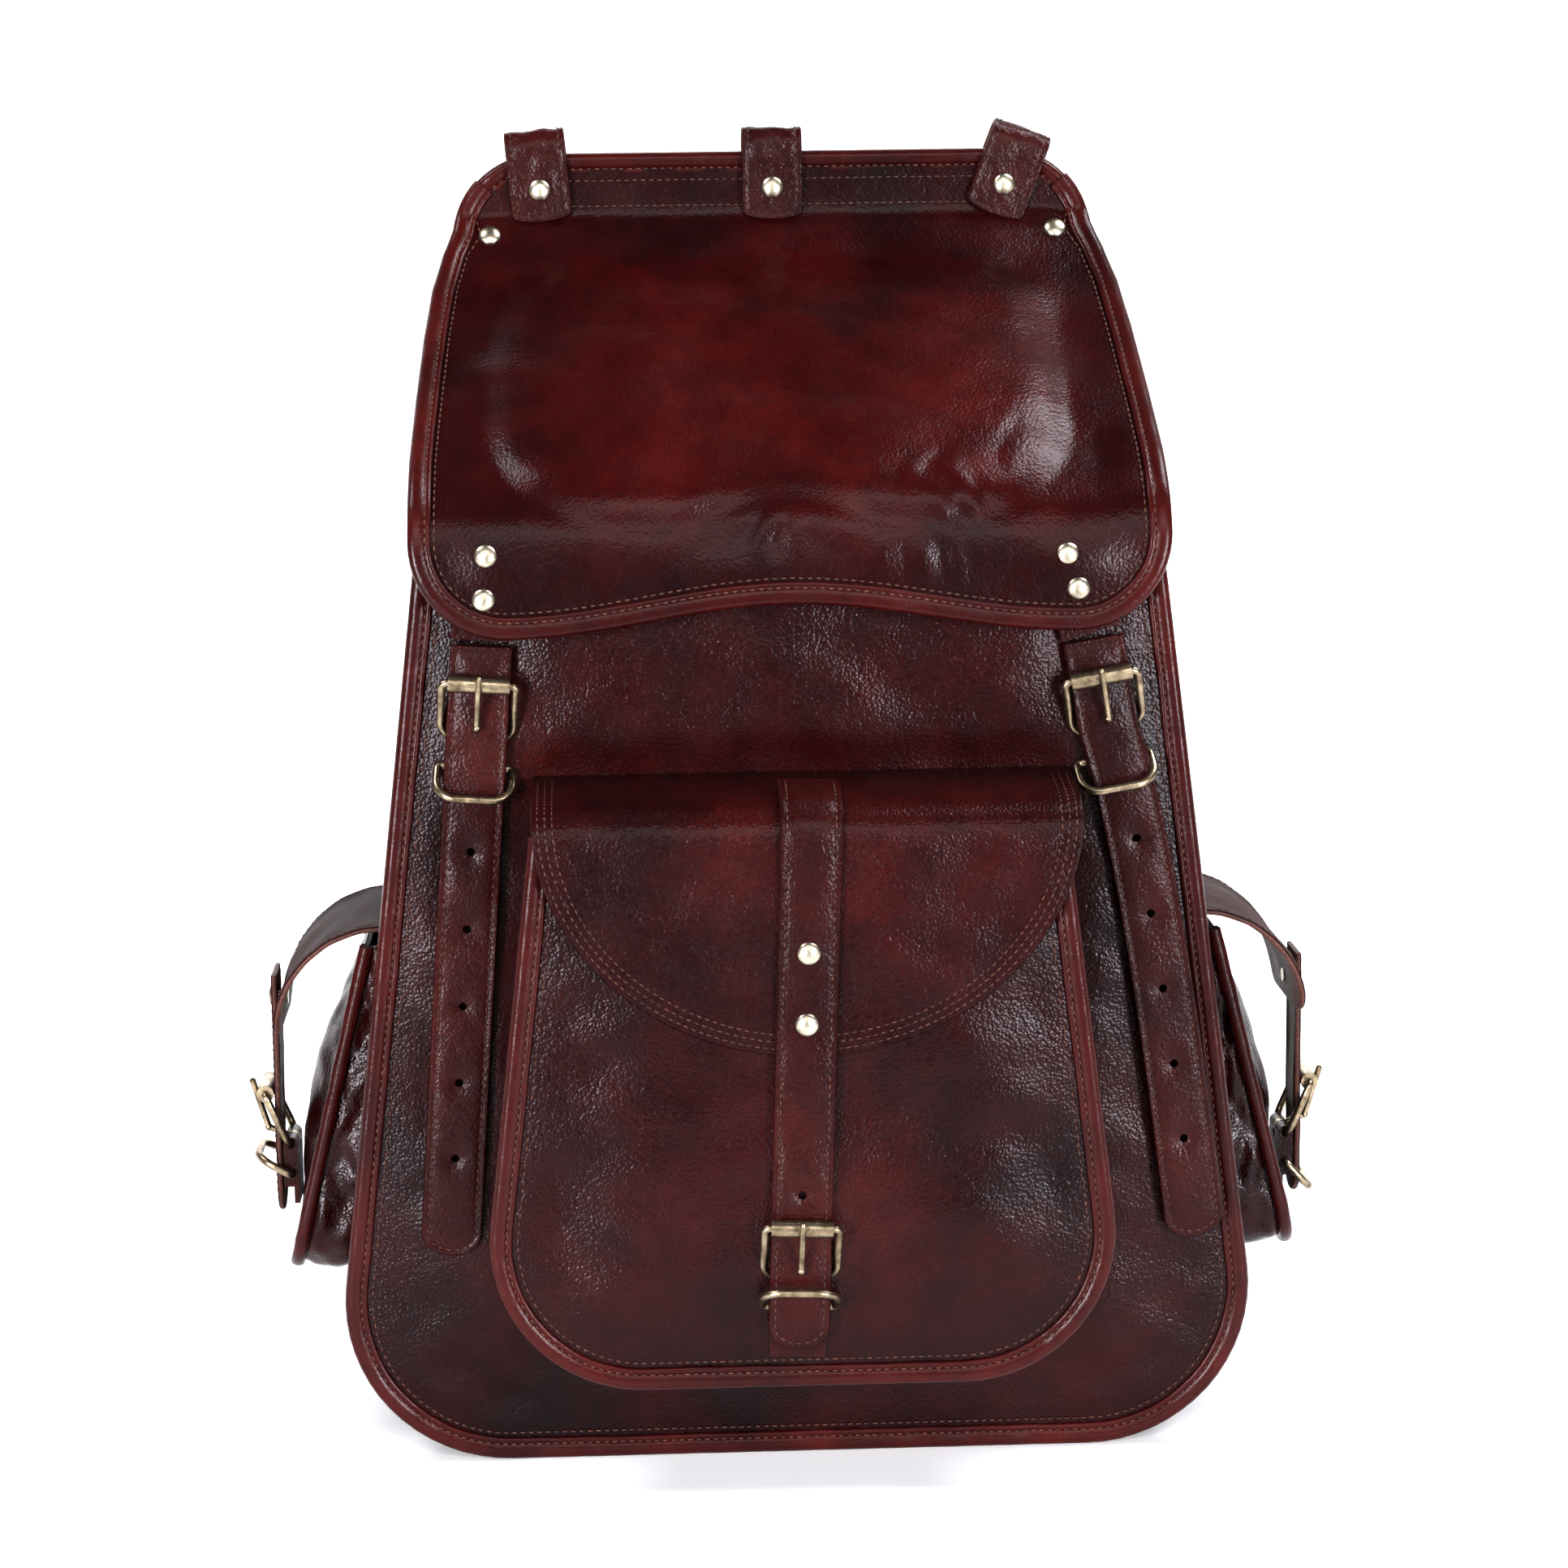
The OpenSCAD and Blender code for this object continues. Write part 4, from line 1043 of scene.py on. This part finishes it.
for side, side_name, seed in ((-1, "left", 141), (1, "right", 161)):
    place = on_side_panel(side)
    panel = leather_sheet(f"side_pocket_panel_{side_name}_hide", side_u(5.5), place,
                          side_panel_relief(seed), [hide], grid=4, rings=(3,))
    settle(panel, "bag", [f"side_pocket_panel_{side_name}"])
    fold = binding(f"side_pocket_binding_{side_name}_fold", side_u(0), place, 8, 1.9, -3.7,
                   [hide_fold], seed=seed + 2)
    settle(fold, "bag", [f"side_pocket_binding_{side_name}"])
    stitches("bag", even(side_u(5.9, -2), 2.5), place, 1.4)
    # the gusset runs from the body's side out to the outer panel
    ring = side_u(4)
    ring = even(points(ring[:1], ring[1:-1] + (0, 3), ring[-1:]), 3)
    ring_s = run(ring)
    ring_n = normals2(ring)

    def gusset_at(u, v, h, side=side, ring=ring, ring_s=ring_s, ring_n=ring_n):
        """u runs round the U, v from 0 at the body to 1 at the outer panel."""
        y, z = np.interp(u, ring_s, ring[:, 0]), np.interp(u, ring_s, ring[:, 1])
        y = y + h * np.interp(u, ring_s, ring_n[:, 0])
        z = z + h * np.interp(u, ring_s, ring_n[:, 1]) + SIDE_TOP[1]
        inner = side_x(GUSSET_HALF, z)
        outer = SIDE_TOP[0] + (SIDE_TOP[1] - z) * side_slope - 1.4
        x = inner + (outer - inner) * v / 60
        return np.stack([side * x, y, z], 1)

    def fold_relief(u, v, d, seed=seed, length=ring_s[-1]):
        """It pinches in at both seams and hangs in loose folds between them."""
        free = smooth(v, -2, 26) * smooth(61 - v, 0, 16)
        lower = smooth(np.minimum(u, length - u), 40, 130)
        return free * (0.6 + 1.9 * lower + 1.5 * waves(u, v * 0.55, 30, seed + 4)
                       + 0.55 * waves(u * 1.3, v * 0.6, 12, seed + 5))
    outline = points([(0, 0), (ring_s[-1], 0), (ring_s[-1], 60), (0, 60)])
    wall_piece = leather_sheet(f"side_pocket_gusset_{side_name}_hide", outline, gusset_at,
                               fold_relief, [hide_wrinkled], grid=3.4, thick=1.5)
    settle(wall_piece, "bag", [f"side_pocket_gusset_{side_name}"])

    flap_side = rounded(-offset(side_flap_inner * (-1, 1), 2.5) * (1, -1), 2, 4)
    fs, fat = profile_of(flap_side * (-1, 1))

    def side_flap_place(u, v, h, side=side, fat=fat):
        x, z, nx, nz = fat(v)
        return np.stack([-side * (x + nx * h), u + 0 * h, z + nz * h], 1)
    v_end = np.interp(-SIDE_FLAP_LOW, -flap_side[:, 1], fs)
    r = SIDE_FLAP_R
    outline = points([(-SIDE_FLAP_HALF, 0)], [(SIDE_FLAP_HALF, 0)],
                     arc(SIDE_FLAP_HALF - r, v_end - r, r, 0, 90, 6),
                     arc(-SIDE_FLAP_HALF + r, v_end - r, r, 90, 180, 6))

    def side_flap_relief(u, v, d, seed=seed):
        curl = 0.6 * waves(u, v, 38, seed + 7) * smooth(v, 6, 25)
        return curl * smooth(d, 1, 8) - 0.2 * bump(d, 2.8, 0.7)
    piece = leather_sheet(f"side_flap_{side_name}_hide", outline, side_flap_place,
                          side_flap_relief, [hide_side, raw_edge], grid=3.4,
                          rings=(0.5, 1.2, 2.8, 4.5), thick=2.3, edge=0.7)
    settle(piece, f"side_flap_{side_name}", [f"side_flap_{side_name}"])
    row = inset(outline, 2.8)
    row = np.roll(even(row, 2.5, True), -1, 0)
    stitches("side" + side_name, row[np.abs(row[:, 1]) > 6], side_flap_place, 0.0, 3.3, **FINE)
    join_stitches("side" + side_name, f"side_flap_{side_name}_stitching", f"side_flap_{side_name}")

# ---- loops along the top ----


def leant(x0, z0, lean, u, y, z):
    """Points drawn across and up from (x0, z0) on a sheet that leans sideways."""
    return np.stack([x0 + u * math.cos(lean) + z * math.sin(lean), y,
                     z0 - u * math.sin(lean) + z * math.cos(lean)], 1)


loop_nodes = {0: "side_loops", 1: "loop_centre"}
for i, (x0, lean) in enumerate(LOOPS):
    arch = BACK_TOP + 3 - LOOP_Z
    loop_side = points([(LOOP_Y + LOOP_R, -13)], arc(LOOP_Y, arch, LOOP_R, 0, 180, 12),
                       [(LOOP_Y - LOOP_R, -13)])
    loop_side = rounded(loop_side, 1.5, 2)
    ls, lat = profile_of(loop_side)

    def loop_place(u, v, h, x0=x0, lean=rad(lean), lat=lat):
        y, z, ny, nz = lat(v)
        return leant(x0, LOOP_Z, lean, u, y + ny * h, z + nz * h)

    def loop_relief(u, v, d, i=i, end=ls[-1]):
        pinch = -0.5 * bump(np.hypot(u, v - (end - 13)), 7, 3)
        curl = 0.35 * waves(u, v, 13, 171 + i) + 0.2 * waves(u, v, 6, 181 + i)
        return (curl + pinch) * smooth(d, 0.5, 5) - 0.25 * bump(d, 2.6, 0.7)
    tip = arc(0, ls[-1] - 3, STRAP_W / 2 + 0.5, 0, 180, 8) * (1, 0.25) + (0, (ls[-1] - 3) * 0.75)
    outline = points([(-12.5, 0)], [(12.5, 0)], tip)
    piece = leather_sheet(f"loop_{i + 1}_hide", outline, loop_place, loop_relief,
                          [hide_strap, raw_edge], grid=2.4, rings=(0.4, 1, 1.9, 2.6, 3.3),
                          thick=2.3, edge=0.7)
    settle(piece, "bag", [loop_nodes[i]] if i in loop_nodes else [])
    for x in (-9.8, 9.8):
        stitches("bag", ruled(x, 3, x, ls[-1] - 3, 40), loop_place, 0.0, 3.2, **FINE)

# ---- carrying straps and handle on the back ----

BACK_STRAP = (58, 426)
BACK_LEAN, STRAP_LEN, ADJUSTER_LEN, BOW = 10, 200, 395, 24


def bow_y(s):
    return BACK_FACE + 0.4 + BOW * np.sin(np.pi * (np.clip(s, 0, None) / ADJUSTER_LEN) ** 0.8)


def on_back(side, s0, s1, lift):
    """u across the strap, v down from s0, h out from its middle."""
    s = np.arange(s0, s1 + 0.1, 4.0)
    course = np.stack([bow_y(s) + lift, -s], 1)
    ss, at = profile_of(course)
    a = rad(-side * BACK_LEAN)

    def place(u, v, h):
        y, z, ny, nz = at(v)
        return leant(side * BACK_STRAP[0], BACK_STRAP[1], a, u, y - ny * h, z - nz * h)
    return place, ss[-1]


for side, side_name, seed in ((-1, "left", 191), (1, "right", 201)):
    place, length = on_back(side, -22, STRAP_LEN, 3.5)
    r = 8
    outline = points(arc(12, r, r, 270, 360, 4), arc(12, length - r, r, 0, 90, 4),
                     arc(-12, length - r, r, 90, 180, 4), arc(-12, r, r, 180, 270, 4))

    def crown(u, v, d, length=length, seed=seed):
        flat = 1 - smooth(np.minimum(v, length - v), 4, 22)
        swell = np.sqrt(np.clip(1 - (1 - np.clip(d / 6, 0, 1)) ** 2, 0, 1))
        stuffed = 1.3 + 2.1 * swell * (1 - 0.55 * flat)
        return stuffed - 0.9 * bump(d, 4.2, 0.9) + 0.25 * waves(u, v, 18, seed) * smooth(d, 5, 9)
    pad = leather_sheet(f"shoulder_strap_{side_name}_pad", outline, place, crown,
                        [hide, hide_fold], grid=3.6, rings=(0.5, 1.4, 2.8, 4.2, 5.6, 8),
                        under=lambda u, v, d, f=crown: np.maximum(-f(u, v, d), -3.3))
    settle(pad, "bag", [f"shoulder_strap_{side_name}"])
    row = even(inset(outline, 4.2), 2.5, True)
    stitches("bag", row, place, 2.35, 3.6, 2.5)
    for v in (8, 17):
        stitches("bag", ruled(-13, v, 13, v, 30), place, 2.75, 3.4)
    place, length = on_back(side, STRAP_LEN + 9.5, 361, 1.3)
    outline = points([(-12, 0), (12, 0), (12, length), (-12, length)])
    strap = leather_sheet(f"adjuster_strap_{side_name}_hide", outline, place,
                          lambda u, v, d, k=seed: 1.2 + 0.15 * waves(u, v, 20, k) * smooth(d, 0, 6)
                          - 0.25 * bump(d, 2.6, 0.7),
                          [hide_strap, raw_edge], grid=3.2, rings=(0.5, 1.2, 2.6, 3.6), thick=2.3,
                          edge=0.7, holes=[arc(0, v, HOLE_R, 0, 330, 11) for v in
                                           (40, 65, 90, 115)])
    settle(strap, "bag", [f"adjuster_strap_{side_name}"])
    for x in (-9.4, 9.4):
        stitches("bag", ruled(x, 3, x, length - 3), place, 1.2, 3.3, **FINE)

HANDLE = dict(y=72.5, z=490, x=42, drop=34, a=6.0, b=3.6)
legs = HANDLE["z"] - HANDLE["drop"] + 18
route = points([(-HANDLE["x"], HANDLE["z"] + 2.6)], [(-HANDLE["x"], legs + 4)],
               arc(-26, legs, 16, 180, 270, 10), arc(26, legs, 16, 270, 360, 10),
               [(HANDLE["x"], legs + 4)], [(HANDLE["x"], HANDLE["z"] + 2.6)])
route = even(route, 2.2)
out = normals2(route)
s = run(route)
ends = np.minimum(s, s[-1] - s)
fat = 0.62 + 0.38 * smooth(ends, 4, 22)
tip = np.sqrt(np.clip(1 - (1 - np.clip(ends / 3, 0, 1)) ** 2, 0.05, 1))


def handle_path(o, h):
    roll = 1 + 0.03 * waves(s, 3 * o + 0 * s, 15, 211)
    p = route + out * (o * HANDLE["a"] * roll)[:, None]
    return np.stack([p[:, 0], HANDLE["y"] + h * HANDLE["b"] * fat * tip * roll, p[:, 1]], 1)


turns = np.radians(np.arange(0, 360, 15))
handle = sweep("haul_handle_roll", handle_path,
               [(math.cos(a) * (1 - 0.05 * math.cos(4 * a)), math.sin(a)) for a in turns],
               [hide])
settle(handle, "haul_handle", ["haul_handle"])


def on_handle(u, v, h):
    """u runs along the roll, and v across its back."""
    x, z = np.interp(u, s, route[:, 0]), np.interp(u, s, route[:, 1])
    nx, nz = np.interp(u, s, out[:, 0]), np.interp(u, s, out[:, 1])
    y = HANDLE["y"] + HANDLE["b"] * np.interp(u, s, fat) * np.sqrt(1 - (v / HANDLE["a"]) ** 2) + h
    return np.stack([x + nx * v, y, z + nz * v], 1)


for v in (-3.4, 3.4):
    stitches("handle", ruled(12, v, s[-1] - 12, v), on_handle, 0.05)
join_stitches("handle", "haul_handle_stitching", "haul_handle")

join_stitches("bag", "body_stitching", "bag")

# ---- rivet caps ----


def rivet_caps(name, body, seats, nodes):
    """Domed caps on their seats: a point, and the direction that each one faces."""
    sides = 28
    dome = [(0.0, 2.05), (1.3, 1.98), (2.5, 1.72), (3.5, 1.25), (4.2, 0.72), (4.6, 0.2),
            (4.6, -0.5)]
    verts, faces = [], []
    for at, towards in seats:
        n = Vector(towards).normalized()
        b = n.orthogonal().normalized()
        c = n.cross(b)
        base = len(verts)
        for ring_r, h in dome:
            for k in range(sides if ring_r else 1):
                a = TAU * k / sides
                verts.append(Vector(at) + n * h + (b * math.cos(a) + c * math.sin(a)) * ring_r)
        faces += [(base, base + 1 + k, base + 1 + (k + 1) % sides) for k in range(sides)]
        for j in range(len(dome) - 2):
            one, two = base + 1 + j * sides, base + 1 + (j + 1) * sides
            faces += [(one + k, one + (k + 1) % sides, two + (k + 1) % sides, two + k)
                      for k in range(sides)]
        faces.append(tuple(two + k for k in range(sides)))
    obj = make(name, np.array([v[:] for v in verts]), faces, [nickel], sharp=60)
    return settle(obj, body, nodes)


def seat(place, u, v):
    p = place(np.array([u]), np.array([v]), np.array([0.1]))[0]
    return tuple(p), tuple(place(np.array([u]), np.array([v]), np.array([1.1]))[0] - p)


def strap_seat(i, out, up):
    p, q = (strap_frame(i)(np.array([0.0]), np.array([out + k]), np.array([up]))[0] for k in (0, 1))
    return tuple(p), tuple(q - p)


top_seats = [((x, LOOP_Y - LOOP_R - 0.3, LOOP_Z), (0, -1, 0)) for x, _ in LOOPS]
top_seats += [seat(flap_place, hand * 117.5, flap_v(487)) for hand in (-1, 1)]
rivet_caps("top_rivet_caps", "bag", top_seats, ["top_rivets"])
ROOTS = [(-120.93, 333.9, 4.3, (18, 35)), (117.7, 332.46, -17, (21, 35))]
flap_seats = [seat(flap_place, x + d * math.sin(rad(a)), flap_v(z + d * math.cos(rad(a))))
              for x, z, a, at in ROOTS for d in at]
rivet_caps("flap_rivet_caps", "flap", flap_seats, ["flap_rivets"])
cos_lean = math.cos(rad(STRAPS[2][4]))
rivet_caps("pocket_rivet_caps", "pocket_flap",
           [strap_seat(2, STRAP_OUT + 0.2, (z - STRAPS[2][2]) / cos_lean) for z in (191, 219)],
           ["pocket_rivets"])

# ---- carried-over nodes ----

metal_nodes = [n for n in frame["nodes"] if n.startswith(
    ("buckle", "roller", "prong", "keeper", "pocket_buckle", "pocket_roller", "pocket_prong",
     "pocket_keeper", "side_buckle", "side_keeper", "shoulder_hardware"))]
hide_nodes = [n for n in frame["nodes"] if "tab" in n or n in ("strap_anchors", "strap_roots")]
for names, finish in ((metal_nodes, brass), (hide_nodes, hide_strap), (["lining"], canvas)):
    for n in names:
        slots = frame["nodes"][n].data.materials
        slots.clear()
        slots.append(finish)

# ---- floor, light and camera ----


FLOOR_GREY_AT, FLOOR_WHITE_AT = -1.0, -0.3


def studio_floor():
    """White round the bag, and painted greyer far in front of it: painted shade that keeps the
    floor's reflection in the leather dark, so that the leather keeps its depth.
    """
    t = material("floor_white")
    split = t.nodes.new("ShaderNodeSeparateXYZ")
    t.links.new(t.coords["Object"], split.inputs["Vector"])
    near = t.ranged(split.outputs["Y"], 0.0, 1.0, FLOOR_GREY_AT, FLOOR_WHITE_AT, "SMOOTHSTEP")
    paper = t.stops(t.noise(3, Detail=2.0), (0, 0.89), (1, 0.9))
    colour = t.mix("MULTIPLY", 1.0, paper, t.stops(near, (0, 0.12), (1, 1.0)))
    t.set(Base_Color=colour, Emission_Color=colour, Emission_Strength=0.2, Roughness=0.9)
    return t.data


floor_side = points([(-5, 0), (1.6, 0)], arc(1.6, 1.2, 1.2, -90, 0, 16), [(2.8, 5)])
floor_mesh = bpy.data.meshes.new("floor")
floor_faces = [(2 * i, 2 * i + 1, 2 * i + 3, 2 * i + 2) for i in range(len(floor_side) - 1)]
floor_mesh.from_pydata([(x, y, z) for y, z in floor_side.tolist() for x in (-6, 6)], [],
                       floor_faces)
floor_mesh.polygons.foreach_set("use_smooth", [True] * len(floor_mesh.polygons))
floor_mesh.materials.append(studio_floor())
floor = bpy.data.objects.new("floor", floor_mesh)
bpy.context.scene.collection.objects.link(floor)


def softbox(name, at, towards, size, watts, tint=(1, 1, 1)):
    light = bpy.data.lights.new(name, "AREA")
    light.shape = "RECTANGLE"
    light.size, light.size_y = size
    light.energy = watts
    light.color = tint
    lamp = bpy.data.objects.new(name, light)
    lamp.location = at
    lamp.visible_camera = False
    lamp.rotation_euler = (Vector(towards) - Vector(at)).to_track_quat("-Z", "Y").to_euler()
    bpy.context.scene.collection.objects.link(lamp)


middle = (0, -0.05, 0.27)
softbox("key_left", (-0.86, -1.42, 0.34), middle, (0.3, 0.7), 34, (0.93, 0.94, 1.0))
softbox("key_right", (0.84, -1.42, 0.36), middle, (0.26, 0.7), 28, (0.93, 0.94, 1.0))
softbox("front_high", (0.1, -2.4, 1.7), middle, (1.8, 0.9), 22)
softbox("top_right", (0.85, 0.0, 1.55), middle, (0.5, 0.8), 26, (0.93, 0.95, 1.0))
softbox("top_left", (-0.9, -0.2, 1.5), middle, (0.4, 0.6), 13, (0.93, 0.95, 1.0))
softbox("backdrop_wash", (0, 0.9, 2.4), (0, 3.0, 1.6), (3.2, 0.7), 150)
studio = Tree(bpy.data.worlds.new("studio"), "Background")
bpy.context.scene.world = studio.data
up = studio.nodes.new("ShaderNodeSeparateXYZ")
studio.links.new(studio.coords["Generated"], up.inputs["Vector"])
studio.set(Color=studio.stops(up.outputs["Z"], (0.0, 0.32), (0.35, 0.2), (0.8, 0.04)),
           Strength=1.0)

CAMERA = dict(azimuth=-2.5, elevation=10, roll=0.7, distance=1.545)
TARGET = Vector((-0.0036, -0.068, 0.2753))
cam_data = bpy.data.cameras.new("camera")
cam_data.lens, cam_data.sensor_width = 90, 36
camera = bpy.data.objects.new("camera", cam_data)
az, el = rad(CAMERA["azimuth"]), rad(CAMERA["elevation"])
back = Vector((math.sin(az) * math.cos(el), -math.cos(az) * math.cos(el), math.sin(el)))
camera.location = TARGET + back * CAMERA["distance"]
camera.rotation_mode = "QUATERNION"
upright = (-back).to_track_quat("-Z", "Y")
camera.rotation_quaternion = Quaternion(back, rad(-CAMERA["roll"])) @ upright
bpy.context.scene.collection.objects.link(camera)
bpy.context.scene.camera = camera
bpy.context.scene.view_settings.view_transform = "Standard"
bpy.context.scene.view_settings.gamma = 0.8
bpy.context.scene.view_settings.exposure = 0.15
